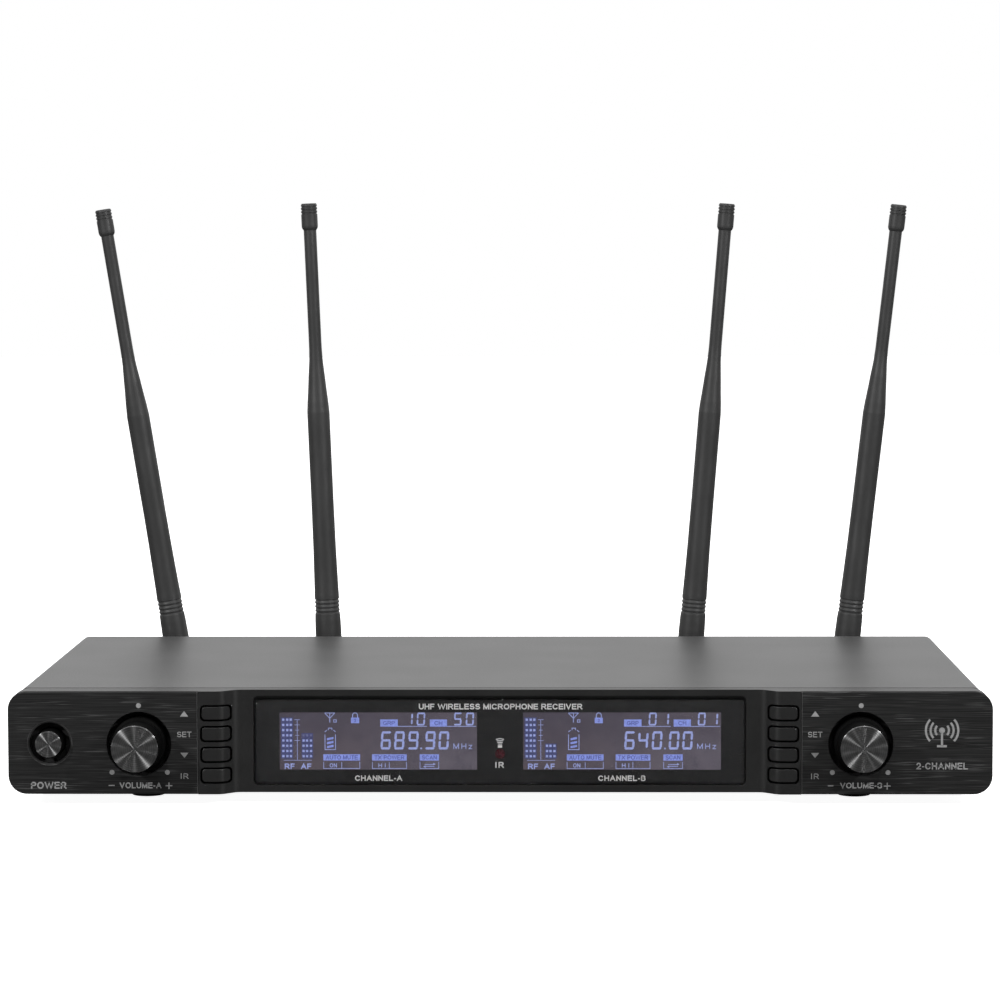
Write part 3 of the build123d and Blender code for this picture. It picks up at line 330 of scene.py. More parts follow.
def display_film(name):
    """The lit background of the two displays: a dim violet grey, lighter to the right."""
    f = Finish(name, grey(12), 0.5)
    x, _, z = f.axes((0.0, 0.0, PANEL_FOOT + DISPLAY_MIDDLE * MM))
    half_width = DISPLAY_HALF_WIDTH * MM
    along = None
    for centre in DISPLAY_CENTRES.values():
        shift = f.maths("SUBTRACT", x, centre * MM)
        inside = f.maths("LESS_THAN", f.maths("ABSOLUTE", shift), 1.08 * half_width)
        part = f.maths("MULTIPLY", inside, f.ramp(shift, -half_width, half_width))
        along = part if along is None else f.maths("ADD", along, part)
    fine = f.noise((0.5, 1.0, 0.5), detail=2.0)
    soft = f.noise(9.0, detail=2.0)
    down = f.ramp(z, DISPLAY_HALF_HEIGHT * MM, -DISPLAY_HALF_HEIGHT * MM)
    low = f.mix(down, display_colour(74, 68, 80), display_colour(88, 78, 84))
    high = f.mix(down, display_colour(88, 81, 91), display_colour(100, 94, 104))
    lit = f.mix(along, low, high)
    cloudy = f.mix(f.ramp(soft, 0.3, 0.7), lit, display_colour(68, 62, 74))
    f.feed("Emission Color", f.mix(f.ramp(fine, 0.3, 0.7), lit, cloudy))
    f.feed("Emission Strength", 1.0)
    return f.material


def lit_segment(name, colour):
    """A lit display segment, a little uneven."""
    f = Finish(name, grey(20), 0.6)
    uneven = f.noise(1.6, detail=2.0)
    darker = tuple(c * 0.8 for c in colour)
    f.feed("Emission Color", f.mix(f.ramp(uneven, 0.3, 0.7), darker, colour))
    f.feed("Emission Strength", 1.0)
    return f.material


def ink(name, level):
    """Silk-screen ink with slightly uneven cover."""
    f = Finish(name, grey(level), 0.65)
    cover = f.noise(0.7, detail=3.0)
    f.feed("Base Color", f.mix(f.ramp(cover, 0.3, 0.6), grey(level - 14), grey(level)))
    return f.material


def circuit_board():
    """Green solder mask over copper tracks."""
    f = Finish("circuit_board_mask", display_colour(20, 70, 45), 0.35)
    tracks = f.noise((1.2, 6.0, 6.0), detail=1.0)
    copper = f.ramp(tracks, 0.5, 0.52)
    f.feed("Base Color", f.mix(copper, display_colour(18, 62, 40), display_colour(34, 96, 62)))
    f.relief(copper, 0.03, 0.5)
    return f.material


def led_lens():
    """Dark red lens of the infrared diode, glowing faintly."""
    f = Finish("led_lens", display_colour(92, 16, 22), 0.25, IOR=1.5)
    depth = f.noise(1.5, detail=2.0)
    dark, bright = display_colour(36, 6, 12), display_colour(70, 14, 24)
    f.feed("Base Color", f.mix(f.ramp(depth, 0.3, 0.7), dark, bright))
    f.feed("Emission Color", (*display_colour(54, 6, 16), 1.0))
    f.feed("Emission Strength", 0.8)
    return f.material


def ribbon():
    """Grey ribbon cable: parallel wires."""
    f = Finish("ribbon_wires", grey(140), 0.5)
    x, _, _ = f.axes()
    wires = f.maths("SINE", f.maths("MULTIPLY", x, 2 * math.pi / (1.27 * MM)))
    # the colour is lighter on the raised wires and darker in the grooves between them, painted
    # shade to go with the bump
    f.feed("Base Color", f.mix(f.ramp(wires, -1.0, 1.0), grey(96), grey(160)))
    f.relief(wires, 0.2, 0.8)
    return f.material


finishes = {
    "case_paint": powder_coat(),
    "panel_plastic": panel_plastic(),
    "brushed_black": brushed_plate(),
    "window_acrylic": acrylic(),
    "mask_ink": moulded_plastic("window_mask_ink", 18, roughness=0.6, grain_size=0.8),
    "lcd_glass": display_film("display_film"),
    "diffuser": moulded_plastic("diffuser_white", 200, roughness=0.6),
    "circuit_board": circuit_board(),
    "switch_plastic": moulded_plastic("hinge_plastic", 36, roughness=0.45),
    "led_red": led_lens(),
    "plated_steel": metal("zinc_plate", 186, 0.32),
    "nickel": metal("nickel_plate", 200, 0.22, tint=(4, 0, -8)),
    "contact_metal": metal("tin_contacts", 205, 0.3),
    "knob_plastic": moulded_plastic(
        "knob_black", 9, roughness=0.6, grain_size=0.5, grain_depth=0.01, shine=0.05
    ),
    "antenna_rubber": rubber("antenna_rubber_black", 50, 0.5),
    "foot_rubber": rubber("foot_rubber_black", 34, 0.75),
    "black_screw": metal("black_screw_steel", 70, 0.36),
    "socket_plastic": moulded_plastic("socket_black", 32, roughness=0.5),
    "capacitor_sleeve": moulded_plastic("capacitor_sleeve_black", 30, roughness=0.3),
    "ribbon_grey": ribbon(),
    "lead_jacket": rubber("lead_jacket_black", 30, 0.5),
}
spun = {
    node: spun_disc(f"spun_{node}", tuple(middle_of(node)))
    for node in ("knob_cap_a", "knob_cap_b", "power_button_cap")
}
key_finish = key_plastic()
for name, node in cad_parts.items():
    slot = node.material_slots[0].name.split(".")[0]
    is_key = name.startswith("key_") and slot == "panel_plastic"
    node.data.materials.clear()
    node.data.materials.append(spun.get(name) or (key_finish if is_key else finishes[slot]))

print_grey = ink("print_grey", 150)
print_white = ink("print_white", 205)
segment_light = lit_segment("segment_light", display_colour(166, 178, 236))
segment_fill = lit_segment("segment_fill", display_colour(146, 162, 240))
segment_faint = lit_segment("segment_faint", display_colour(104, 106, 150))
segment_haze = lit_segment("segment_haze", display_colour(70, 74, 120))
segment_shadow = lit_segment("segment_shadow", display_colour(74, 80, 158))


# ---------------------------------------------------------------- lettering
def bend(x, y, across, up, start, end, steps=10):
    """Points along part of an ellipse, from one angle to another in degrees."""
    turns = [math.radians(start + (end - start) * i / steps) for i in range(steps + 1)]
    return [(x + across * math.cos(t), y + up * math.sin(t)) for t in turns]


# Each plain capital or figure: its width for a height of 1, and its strokes in a unit box.
GLYPHS = {
    "A": (0.98, [[(0, 0), (0.5, 1), (1, 0)], [(0.19, 0.34), (0.81, 0.34)]]),
    "B": (0.84, [
        [(0, 0), (0, 1)],
        [(0, 1), *bend(0.62, 0.77, 0.3, 0.23, 90, -90), (0, 0.54)],
        [(0, 0.54), *bend(0.66, 0.27, 0.34, 0.27, 90, -90), (0, 0)],
    ]),
    "C": (0.94, [bend(0.52, 0.5, 0.52, 0.5, 42, 318, 20)]),
    "D": (0.9, [[(0, 0), (0, 1)], [(0, 1), *bend(0.42, 0.5, 0.58, 0.5, 90, -90, 16), (0, 0)]]),
    "E": (0.8, [[(1, 1), (0, 1), (0, 0), (1, 0)], [(0, 0.53), (0.92, 0.53)]]),
    "F": (0.74, [[(1, 1), (0, 1), (0, 0)], [(0, 0.5), (0.88, 0.5)]]),
    "G": (0.98, [[*bend(0.5, 0.5, 0.5, 0.5, 42, 316, 20), (1, 0.24), (1, 0.46), (0.56, 0.46)]]),
    "H": (0.86, [[(0, 0), (0, 1)], [(1, 0), (1, 1)], [(0, 0.52), (1, 0.52)]]),
    "I": (0.14, [[(0.5, 0), (0.5, 1)]]),
    "L": (0.74, [[(0, 1), (0, 0), (1, 0)]]),
    "M": (1.0, [[(0, 0), (0, 1)], [(0, 1), (0.5, 0.06), (1, 1)], [(1, 1), (1, 0)]]),
    "N": (0.86, [[(0, 0), (0, 1)], [(0, 1), (1, 0)], [(1, 0), (1, 1)]]),
    "O": (1.0, [bend(0.5, 0.5, 0.5, 0.5, 0, 360, 28)]),
    "P": (0.82, [[(0, 0), (0, 1)], [(0, 1), *bend(0.6, 0.735, 0.4, 0.265, 90, -90), (0, 0.47)]]),
    "R": (0.9, [
        [(0, 0), (0, 1)],
        [(0, 1), *bend(0.58, 0.74, 0.36, 0.26, 90, -90), (0, 0.48)],
        [(0.5, 0.48), (1, 0)],
    ]),
    "S": (0.84, [
        [*bend(0.5, 0.74, 0.45, 0.26, 28, 250, 12), *bend(0.5, 0.26, 0.5, 0.26, 75, -152, 12)],
    ]),
    "T": (0.84, [[(0, 1), (1, 1)], [(0.5, 1), (0.5, 0)]]),
    "U": (0.86, [[(0, 1), *bend(0.5, 0.36, 0.5, 0.36, 180, 360, 14), (1, 1)]]),
    "V": (0.92, [[(0, 1), (0.5, 0), (1, 1)]]),
    "W": (1.36, [[(0, 1), (0.25, 0), (0.5, 0.95), (0.75, 0), (1, 1)]]),
    "X": (0.92, [[(0, 0), (1, 1)], [(0, 1), (1, 0)]]),
    "z": (0.62, [[(0, 0.7), (1, 0.7), (0, 0), (1, 0)]]),
    "-": (0.36, [[(0, 0.38), (1, 0.38)]]),
    "1": (0.36, [[(0, 0.72), (1, 1), (1, 0)]]),
    "2": (0.78, [[*bend(0.5, 0.7, 0.47, 0.3, 165, -35, 12), (0, 0), (1, 0)]]),
    "3": (0.78, [
        [*bend(0.48, 0.75, 0.44, 0.25, 150, -90), *bend(0.48, 0.26, 0.5, 0.26, 90, -150)],
    ]),
    "4": (0.8, [[(0.76, 0), (0.76, 1), (0, 0.3), (1, 0.3)]]),
    " ": (0.3, []),
}


# ---------------------------------------------------------------- flat shapes
class Sheet:
    """Flat shapes of one material, on one upright face: each is a thin closed prism."""

    def __init__(self, name, face, material, body="receiver", slot=None, turned=False):
        self.name, self.face, self.material = name, face, material
        self.body, self.slot, self.turned = body, slot, turned
        self.bm = bmesh.new()

    def point(self, x, height, proud):
        side = 1 if self.turned else -1
        return Vector((x * MM, self.face + side * proud, PANEL_FOOT + height * MM))

    def shape(self, outline):
        """A prism over an outline of (x, height) points."""
        rings = [
            [self.bm.verts.new(self.point(x, h, proud)) for x, h in outline]
            for proud in (INK, 0.0)
        ]
        front, back = rings
        self.bm.faces.new(front)
        self.bm.faces.new(back[::-1])
        for i in range(len(front)):
            j = (i + 1) % len(front)
            self.bm.faces.new((front[j], front[i], back[i], back[j]))

    def box(self, x0, x1, h0, h1):
        self.shape([(x0, h0), (x1, h0), (x1, h1), (x0, h1)])

    def frame(self, x0, x1, h0, h1, line, sides="lrtb"):
        """The outline of a box; sides says which of its four lines are drawn."""
        if "l" in sides:
            self.box(x0, x0 + line, h0, h1)
        if "r" in sides:
            self.box(x1 - line, x1, h0, h1)
        if "b" in sides:
            self.box(x0 + line, x1 - line, h0, h0 + line)
        if "t" in sides:
            self.box(x0 + line, x1 - line, h1 - line, h1)

    def disc(self, x, height, radius, steps=32):
        self.arc(x, height, 0, radius, 0, 360, steps)

    def arc(self, x, height, inner, outer, start, end, steps=32):
        """Part of a ring, from one angle to another in degrees; a disc if inner is 0."""
        turns = [math.radians(start + (end - start) * i / steps) for i in range(steps + 1)]
        whole = abs(end - start) == 360
        if inner == 0:
            points = turns[:-1] if whole else turns
            outline = [(x + outer * math.cos(t), height + outer * math.sin(t)) for t in points]
            if not whole:
                outline.append((x, height))
            self.shape(outline)
            return
        outside = [(x + outer * math.cos(t), height + outer * math.sin(t)) for t in turns]
        inside = [(x + inner * math.cos(t), height + inner * math.sin(t)) for t in turns]
        for i in range(steps):
            self.shape([outside[i], outside[i + 1], inside[i + 1], inside[i]])

    def stroke(self, x0, h0, x1, h1, width):
        """A straight stroke with square ends."""
        self.path([(x0, h0), (x1, h1)], width)

    def path(self, points, width, reach_out=0.0):
        """A bent stroke of one width with mitred corners, with its ends drawn out by reach_out.
        It closes if its ends meet."""
        closed = len(points) > 2 and math.dist(points[0], points[-1]) < 1e-6
        points = list(points[:-1] if closed else points)
        if not closed:
            for end, inner in ((0, 1), (-1, -2)):
                (x, h), (ix, ih) = points[end], points[inner]
                share = reach_out / math.dist((x, h), (ix, ih))
                points[end] = (x + (x - ix) * share, h + (h - ih) * share)
        count = len(points)
        rails = []
        for i, (x, h) in enumerate(points):
            before = points[i - 1] if i or closed else None
            after = points[(i + 1) % count] if i < count - 1 or closed else None
            ways = [
                ((q[0] - p[0]) / math.dist(p, q), (q[1] - p[1]) / math.dist(p, q))
                for p, q in ((before, (x, h)), ((x, h), after))
                if p and q
            ]
            ax, ah = (sum(w[k] for w in ways) / len(ways) for k in (0, 1))
            reach = width / 2 / max(ax * ax + ah * ah, 0.2)
            rails.append(((x - ah * reach, h + ax * reach), (x + ah * reach, h - ax * reach)))
        for i in range(count if closed else count - 1):
            (a, b), (c, d) = rails[i], rails[(i + 1) % count]
            self.shape([b, d, c, a])

    def text(self, words, x0, x1, h0, h1, line=0.19):
        """Plain capitals or figures that fill a box; line is the stroke's share of the height."""
        height, stroke = h1 - h0, line * (h1 - h0)
        widths = [GLYPHS[c][0] * height for c in words]
        wide = [max(w, stroke) for w in widths]
        gap = (x1 - x0 - sum(wide)) / max(len(words) - 1, 1)
        squeeze = 1.0
        if gap < 0.13 * height:
            gap = 0.13 * height
            squeeze = (x1 - x0 - gap * (len(words) - 1)) / sum(wide)
        x = x0
        for character, width in zip(words, wide):
            width *= squeeze
            for points in GLYPHS[character][1]:
                placed = [
                    (x + stroke / 2 + u * (width - stroke), h0 + stroke / 2 + v * (height - stroke))
                    for u, v in points
                ]
                self.path([(self.mirror(px, x0, x1), ph) for px, ph in placed], stroke, stroke / 2)
            x += width + gap

    def mirror(self, x, x0, x1):
        """Lettering on a face that looks backwards runs the other way along X."""
        return x0 + x1 - x if self.turned else x

    def done(self):
        bmesh.ops.remove_doubles(self.bm, verts=self.bm.verts, dist=1e-7)
        bmesh.ops.recalc_face_normals(self.bm, faces=self.bm.faces)
        mesh = bpy.data.meshes.new(self.name)
        self.bm.to_mesh(mesh)
        self.bm.free()
        mesh.materials.append(self.material)
        piece = bpy.data.objects.new(self.name, mesh)
        bpy.context.scene.collection.objects.link(piece)
        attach(piece, self.body)


# ---------------------------------------------------------------- printing on the two end plates
plate_print = Sheet("plate_legends", PLATE_FACE, print_grey)
plate_print.text("POWER", -200.9, -185.6, 2.4, 5.4)
plate_print.text("VOLUME-A", -162.8, -144.8, 2.6, 5.2)
plate_print.text("VOLUME-B", 145.6, 163.5, 2.7, 5.2)
SIGN_LINE = 0.5  # of the plus and minus signs
for minus_start, minus_end in ((-167.5, -164.9), (140.3, 142.7)):
    plate_print.stroke(minus_start, 3.85, minus_end, 3.85, SIGN_LINE)
for plus_x in (-141.6, 165.7):
    plate_print.stroke(plus_x - 1.45, 3.75, plus_x + 1.45, 3.75, SIGN_LINE)
    plate_print.stroke(plus_x, 2.3, plus_x, 3.5, SIGN_LINE)
    plate_print.stroke(plus_x, 4.0, plus_x, 5.2, SIGN_LINE)
KEY_WORDS_X, ARROW_HALF, DOT_RADIUS = 134.85, 1.75, 1.07
for side in (-1, 1):
    middle = side * KEY_WORDS_X
    plate_print.shape([(middle - ARROW_HALF, 33.6), (middle + ARROW_HALF, 33.6), (middle, 36.0)])
    plate_print.shape([(middle - ARROW_HALF, 18.0), (middle, 15.8), (middle + ARROW_HALF, 18.0)])
    plate_print.text("SET", middle - 3.1, middle + 3.1, 24.7, 27.1, line=0.15)
    plate_print.text("IR", middle - 1.65, middle + 1.65, 6.7, 9.1, line=0.15)
    for spot, height in ((154.4, 38.3), (142.25, 9.55), (166.0, 9.55)):
        plate_print.disc(side * spot, height, DOT_RADIUS)
# A plain radio mark: a mast with waves to both sides
MAST_X, MAST_FOOT, MAST_TOP, MAST_LINE = 188.9, 20.9, 27.7, 0.95
WAVE_LINE, WAVE_SPREAD = 0.9, 42
plate_print.disc(MAST_X, MAST_TOP, 1.25)
plate_print.stroke(MAST_X, MAST_FOOT, MAST_X, MAST_TOP - 1.0, MAST_LINE)
plate_print.stroke(MAST_X - 2.1, MAST_FOOT, MAST_X + 2.1, MAST_FOOT, MAST_LINE)
for way in (0, 180):
    for radius in (2.9, 4.9, 6.9):
        inner, outer = radius - WAVE_LINE / 2, radius + WAVE_LINE / 2
        plate_print.arc(MAST_X, MAST_TOP, inner, outer, way - WAVE_SPREAD, way + WAVE_SPREAD, 20)
plate_print.text("2-CHANNEL", 178.0, 200.0, 10.9, 13.8)
plate_print.done()

# ---------------------------------------------------------------- printing on the back
rear_print = Sheet("rear_legends", REAR_FACE, print_grey, turned=True)
for words, middle, half, height in (
    ("OUT A", -37.0, 5.6, 38.9), ("OUT B", 37.0, 5.6, 38.9), ("LINE OUT", 0.0, 8.2, 31.4),
    ("DC IN", -124.0, 5.2, 31.4), ("1", -161.0, 0.5, 38.9), ("2", -87.5, 0.9, 38.9),
    ("3", 89.5, 0.9, 38.9), ("4", 166.0, 0.9, 38.9),
):
    rear_print.text(words, middle - half, middle + half, height, height + 2.3, line=0.17)
rear_print.done()

# ---------------------------------------------------------------- printing on the window
window_print = Sheet("window_legends", WINDOW_FACE, print_white)
window_print.text("UHF WIRELESS MICROPHONE RECEIVER", -34.6, 35.6, 35.75, 38.2)
window_print.text("CHANNEL-A", -62.2, -41.9, 4.8, 7.15)
window_print.text("CHANNEL-B", 42.4, 62.7, 4.8, 7.15)
window_print.text("IR", -1.8, 1.85, 10.45, 13.0)
IR_MARK_X, IR_MARK_LINE = 0.2, 0.34
for row, half in enumerate((0.9, 1.15, 1.4)):
    level = 20.75 + 0.72 * row
    window_print.stroke(IR_MARK_X - half, level, IR_MARK_X + half, level, IR_MARK_LINE)
window_print.box(IR_MARK_X - 0.9, IR_MARK_X + 0.9, 19.2, 20.25)
roof = [(IR_MARK_X - 1.75, 22.75), (IR_MARK_X, 23.15), (IR_MARK_X + 1.75, 22.75)]
window_print.path(roof, IR_MARK_LINE)
window_print.done()

# ---------------------------------------------------------------- the two displays
METER_DOT = 0.48  # half the width of a dot of the level meters
METER_TOP, METER_PITCH, METER_ROWS = 3.2, 2.26, 8
ICON_LINE = 0.3
LETTER_GAP = 0.09  # how far the words on the tags stand in front of the display
DIGIT_SEGMENTS = {
    "0": "abcdef", "1": "bc", "2": "abged", "3": "abgcd", "4": "fgbc",
    "5": "afgcd", "6": "afgedc", "7": "abc", "8": "abcdefg", "9": "abcdfg",
}


class Display:
    """Graphics of one display, placed from its upper left corner, x to the right and y down."""

    def __init__(self, channel, centre):
        self.left, self.top = centre - DISPLAY_HALF_WIDTH, DISPLAY_MIDDLE + DISPLAY_HALF_HEIGHT
        self.sheets = {
            kind: Sheet(
                f"display_{kind}_{channel}", LCD_FACE - gap * MM, material, slot="lcd_glass"
            )
            for kind, material, gap in (
                ("haze", segment_haze, 0.0),
                ("faint", segment_faint, 0.05),
                ("segments", segment_light, 0.05),
                ("tags", segment_fill, 0.05),
                ("tag_letters", segment_shadow, LETTER_GAP),
            )
        }

    def box(self, x0, x1, y0, y1, kind="segments"):
        self.sheets[kind].box(self.left + x0, self.left + x1, self.top - y1, self.top - y0)

    def outline(self, x0, x1, y0, y1, line, sides="lrtb"):
        left, top = self.left, self.top
        self.sheets["segments"].frame(left + x0, left + x1, top - y1, top - y0, line, sides)

    def stroke(self, x0, y0, x1, y1, width):
        left, top = self.left, self.top
        self.sheets["segments"].stroke(left + x0, top - y0, left + x1, top - y1, width)

    def text(self, words, x0, x1, y0, y1, kind="segments", line=0.17):
        left, top = self.left, self.top
        self.sheets[kind].text(words, left + x0, left + x1, top - y1, top - y0, line)

    def polygon(self, points, kind="segments"):
        self.sheets[kind].shape([(self.left + x, self.top - y) for x, y in points])

    def digit(self, figure, x0, x1, y0, y1, line, slant):
        """A seven-segment figure, leaning right by slant."""
        gap = line * 0.16
        middle, half = (y0 + y1) / 2, line / 2

        def lean(x, y):
            return (x + slant * (y1 - y) / (y1 - y0) - slant / 2, y)

        def level(y):
            ends = [(x0 + gap, y), (x0 + half + gap, y - half), (x1 - half - gap, y - half)]
            ends += [(x1 - gap, y), (x1 - half - gap, y + half), (x0 + half + gap, y + half)]
            self.polygon([lean(*p) for p in ends][::-1])

        def upright(x, top, bottom):
            upper, lower = top + half + gap, bottom - half - gap
            ends = [(x, top + gap), (x + half, upper), (x + half, lower)]
            ends += [(x, bottom - gap), (x - half, lower), (x - half, upper)]
            self.polygon([lean(*p) for p in ends][::-1])

        draw = {
            "a": lambda: level(y0 + half),
            "g": lambda: level(middle),
            "d": lambda: level(y1 - half),
            "f": lambda: upright(x0 + half, y0 + half, middle),
            "b": lambda: upright(x1 - half, y0 + half, middle),
            "e": lambda: upright(x0 + half, middle, y1 - half),
            "c": lambda: upright(x1 - half, middle, y1 - half),
        }
        for segment in DIGIT_SEGMENTS[figure]:
            draw[segment]()

    def meter_row(self, columns, y, kind="segments"):
        for x in columns:
            self.box(x - METER_DOT, x + METER_DOT, y - METER_DOT, y + METER_DOT, kind)

    def meters(self, af_rows):
        """The two level meters and the scale between them; af_rows of the right one are lit."""
        rows = [METER_TOP + METER_PITCH * i for i in range(METER_ROWS)]
        for y in rows:
            self.meter_row((1.6, 3.3, 4.85), y)
        for y in rows[-af_rows:]:
            kind = "faint" if y == rows[-af_rows] and af_rows > 3 else "segments"
            self.meter_row((10.3, 11.8, 13.5), y, kind)
        self.box(0.6, 5.8, 2.2, 20.1, "haze")
        self.box(9.4, 14.4, 20.3 - METER_PITCH * af_rows, 20.1, "haze")
        self.box(7.5, 7.72, 3.2, 20.6)
        for i, y in enumerate(rows):
            half = 1.2 if i in (0, 1, 4) else 0.85
            kind = "faint" if i > 4 else "segments"
            self.box(7.61 - half, 7.61 + half, y - 0.1, y + 0.1, kind)
        self.box(1.7, 13.8, 20.7, 20.9)
        self.text("RF", 2.1, 6.4, 22.2, 24.6, line=0.2)
        self.text("AF", 9.1, 13.6, 22.2, 24.6, line=0.2)

    def icons(self):
        """An aerial, a padlock and a battery."""
        for x in (19.5, 21.65, 23.8):
            self.stroke(x, 0.3, 21.65, 2.6, ICON_LINE)
        self.stroke(19.5, 0.3, 23.8, 0.3, ICON_LINE)
        self.stroke(21.65, 2.2, 21.65, 4.4, 0.35)
        self.outline(23.2, 24.6, 3.1, 4.4, ICON_LINE)
        self.box(30.8, 34.3, 2.3, 4.7, "tags")
        self.stroke(31.5, 2.3, 31.5, 1.2, 0.35)
        self.stroke(33.6, 2.3, 33.6, 1.2, 0.35)
        self.sheets["segments"].arc(self.left + 32.55, self.top - 1.3, 0.88, 1.23, 0, 180, 14)
        self.text("2", 32.1, 33.0, 2.8, 4.3, kind="tag_letters")
        self.stroke(19.5, 8.5, 20.4, 7.7, ICON_LINE)
        self.stroke(24.1, 8.5, 23.2, 7.7, ICON_LINE)
        self.outline(20.9, 22.7, 6.7, 7.7, ICON_LINE, "lrt")
        self.box(19.4, 19.7, 9.6, 16.3)
        self.box(23.9, 24.2, 9.6, 16.3)
        self.box(19.4, 24.2, 16.0, 16.3)
        for y in (11.4, 13.1, 14.8):
            bar = [(20.4, y - 0.2), (23.2, y - 0.75), (23.2, y + 0.2), (20.4, y + 0.75)]
            self.polygon(bar, "tags")

    def tag(self, words, x0, x1, below, divider=None):
        """A filled tag with words cut in it, over a cell that says its state."""
        self.box(x0, x1, 18.2, 20.9, "tags")
        self.text(words, x0 + 1.0, x1 - 1.0, 18.65, 20.45, kind="tag_letters", line=0.15)
        self.outline(x0, x1, 21.5, 24.5, 0.25, "lrb")
        if divider:
            self.box(divider - 0.12, divider + 0.12, 21.6, 24.3)
        if below:
            low = x0 + 2.7 if len(below) == 2 else x0 + 1.0
            self.text(below, low, low + 3.1, 22.1, 23.9)

    def readout(self, group, channel, frequency):
        """The group and channel numbers beside their tags, over the frequency."""
        for tag, x0, x1, line_end, inset in (
            ("GRP", 43.4, 50.9, 63.4, 1.2),
            ("CH", 64.7, 72.1, 84.6, 2.0),
        ):
            self.box(x0, x1, 3.1, 6.2, "tags")
            self.text(tag, x0 + inset, x1 - inset, 3.75, 5.55, kind="tag_letters", line=0.15)
            self.box(x1, line_end, 5.95, 6.2)
        places = [(54.0, 57.4), (59.1, 62.7), (75.1, 78.4), (80.2, 83.7)]
        for figure, (x0, x1) in zip(group + channel, places):
            self.digit(figure, x0, x1, 0.1, 5.7, 0.72, 0.3)
        for figure, x0 in zip(frequency, (43.6, 49.4, 55.4, 62.7, 68.5)):
            self.digit(figure, x0, x0 + 4.4, 8.2, 16.1, 0.98, 0.5)
        self.box(60.6, 61.3, 15.3, 16.0)
        self.text("MHz", 74.8, 82.9, 13.5, 15.9, line=0.13)

    def done(self):
        for sheet in self.sheets.values():
            sheet.done()


for channel, group, number, frequency, af_rows in (
    ("a", "10", "50", "68990", 5),
    ("b", "01", "01", "64000", 3),
):
    display = Display(channel, DISPLAY_CENTRES[channel])
    display.meters(af_rows)
    display.icons()
    display.tag("AUTO MUTE", 18.8, 34.6, "ON", divider=26.7)
    display.tag("TX POWER", 39.8, 54.7, "HI", divider=47.2)
    display.tag("SCAN", 60.3, 68.6, "")
    display.stroke(62.4, 22.6, 66.6, 22.6, 0.28)
    display.stroke(62.4, 23.4, 66.6, 23.4, 0.28)
    display.polygon([(66.2, 22.9), (66.2, 21.9), (67.2, 22.5)])
    display.polygon([(62.8, 23.1), (61.8, 23.5), (62.8, 24.1)])
    display.readout(group, number, frequency)
    display.done()

# ---------------------------------------------------------------- studio
def area_light(name, place, aim, width, depth, power):
    light = bpy.data.lights.new(name, "AREA")
    light.shape, light.size, light.size_y, light.energy = "RECTANGLE", width, depth, power
    holder = bpy.data.objects.new(name, light)
    holder.location = place
    holder.rotation_euler = (Vector(aim) - Vector(place)).to_track_quat("-Z", "Y").to_euler()
    bpy.context.scene.collection.objects.link(holder)


def studio_world():
    """White all round for the camera; for light and reflections, bright behind and dim in front."""
    world = bpy.data.worlds.new("studio")
    world.use_nodes = True
    tree = world.node_tree
    tree.nodes.clear()
    coords = tree.nodes.new("ShaderNodeTexCoord")
    split = tree.nodes.new("ShaderNodeSeparateXYZ")
    shade = tree.nodes.new("ShaderNodeMapRange")
    paths = tree.nodes.new("ShaderNodeLightPath")
    pick = tree.nodes.new("ShaderNodeMix")
    background = tree.nodes.new("ShaderNodeBackground")
    output = tree.nodes.new("ShaderNodeOutputWorld")
    for name, number in zip(("From Min", "From Max", "To Min", "To Max"), (-0.35, 0.6, 0.05, 1.0)):
        shade.inputs[name].default_value = number
    link = tree.links.new
    link(coords.outputs["Generated"], split.inputs[0])
    link(split.outputs["Y"], shade.inputs["Value"])
    link(paths.outputs["Is Camera Ray"], pick.inputs[0])
    link(shade.outputs["Result"], pick.inputs[2])
    pick.inputs[3].default_value = 1.0
    link(pick.outputs[0], background.inputs["Strength"])
    background.inputs["Color"].default_value = (1.0, 1.0, 1.0, 1.0)
    link(background.outputs[0], output.inputs[0])
    bpy.context.scene.world = world


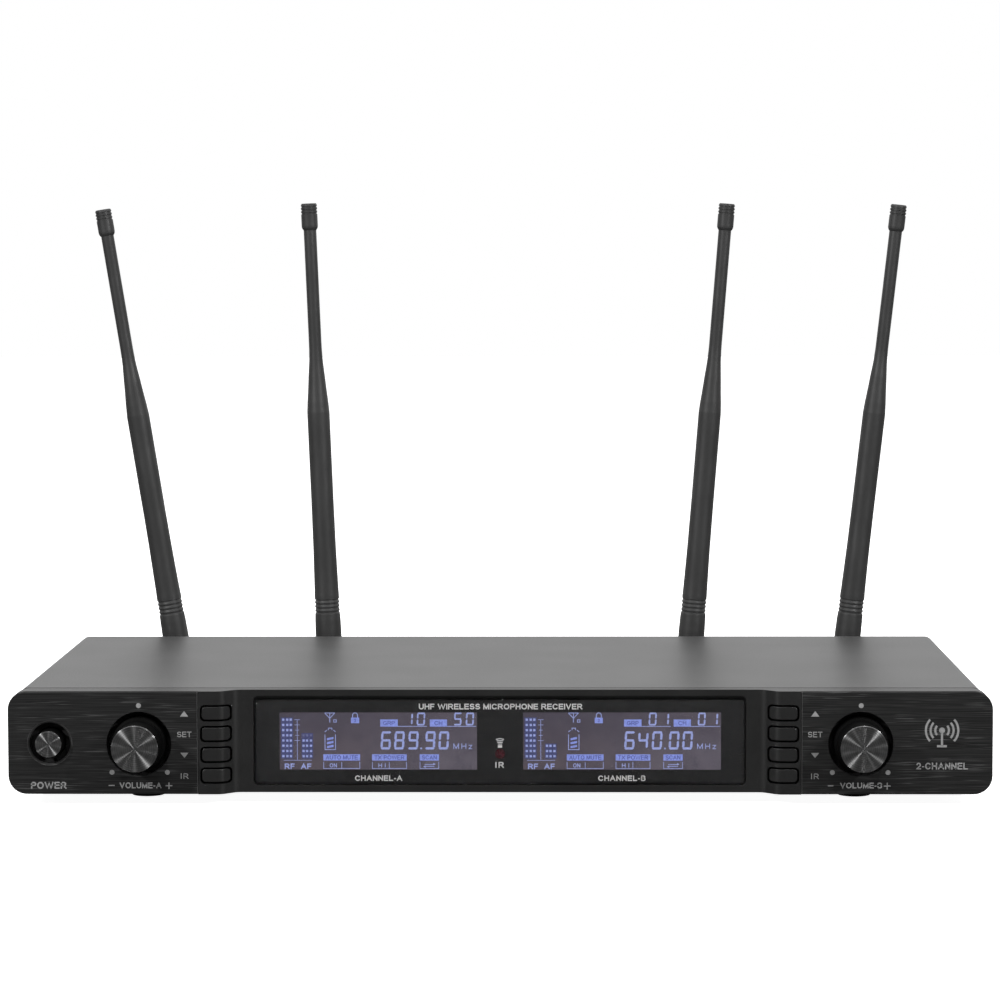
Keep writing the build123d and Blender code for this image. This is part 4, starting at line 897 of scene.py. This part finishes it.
def studio_floor():
    """A pale floor, much larger than the view."""
    half = 6.0
    corners = [(-half, -half, 0), (half, -half, 0), (half, half, 0), (-half, half, 0)]
    mesh = bpy.data.meshes.new("floor")
    mesh.from_pydata(corners, [], [(0, 1, 2, 3)])
    floor = bpy.data.objects.new("floor", mesh)
    bpy.context.scene.collection.objects.link(floor)
    f = Finish("floor_pale", grey(240), 0.9, Specular_IOR_Level=0.0)
    paths = f.node("ShaderNodeLightPath").outputs["Is Camera Ray"]
    f.feed("Base Color", f.mix(paths, grey(100), grey(245)))
    f.feed("Emission Color", (1.0, 1.0, 1.0, 1.0))
    f.feed("Emission Strength", f.maths("MULTIPLY", paths, 0.95))
    mesh.materials.append(f.material)


def studio_camera():
    """The camera stands in front, slightly right of the middle, and looks a little down."""
    place = Vector((0.0246325, -1.5661593, 0.2378672))
    pitch, yaw, roll = (math.radians(degrees) for degrees in (4.1865, -0.9488, -0.1228))
    level = math.cos(pitch)
    ahead = Vector((math.sin(yaw) * level, math.cos(yaw) * level, -math.sin(pitch)))
    right = Vector((math.cos(yaw), -math.sin(yaw), 0.0))
    up = right.cross(ahead)
    right, up = (
        right * math.cos(roll) + up * math.sin(roll),
        up * math.cos(roll) - right * math.sin(roll),
    )
    data = bpy.data.cameras.new("camera")
    data.lens, data.sensor_width = 123.469, 36.0
    camera = bpy.data.objects.new("camera", data)
    turn = Matrix((right, up, -ahead)).transposed().to_4x4()
    camera.matrix_world = Matrix.Translation(place) @ turn
    bpy.context.scene.collection.objects.link(camera)
    bpy.context.scene.camera = camera


studio_world()
studio_floor()
studio_camera()
front_aim = (0.0, -0.1, 0.03)
area_light("overhead", (0.0, -0.05, 1.5), (0.0, 0.0, 0.0), 2.7, 1.6, 16.0)
area_light("upper_middle", (0.0, -1.0, 0.9), front_aim, 0.05, 0.05, 0.5)
for side, hand in ((-1, "left"), (1, "right")):
    area_light(f"front_{hand}", (side * 1.2, -1.13, 0.83), front_aim, 0.05, 0.05, 15.0)
    area_light(f"upper_{hand}", (side * 0.306, -1.0, 0.9), front_aim, 0.05, 0.05, 1.6)
    area_light(f"low_{hand}", (side * 1.3, -1.0, 0.03), front_aim, 0.06, 0.06, 0.9)
bpy.context.scene.view_settings.view_transform = "Standard"
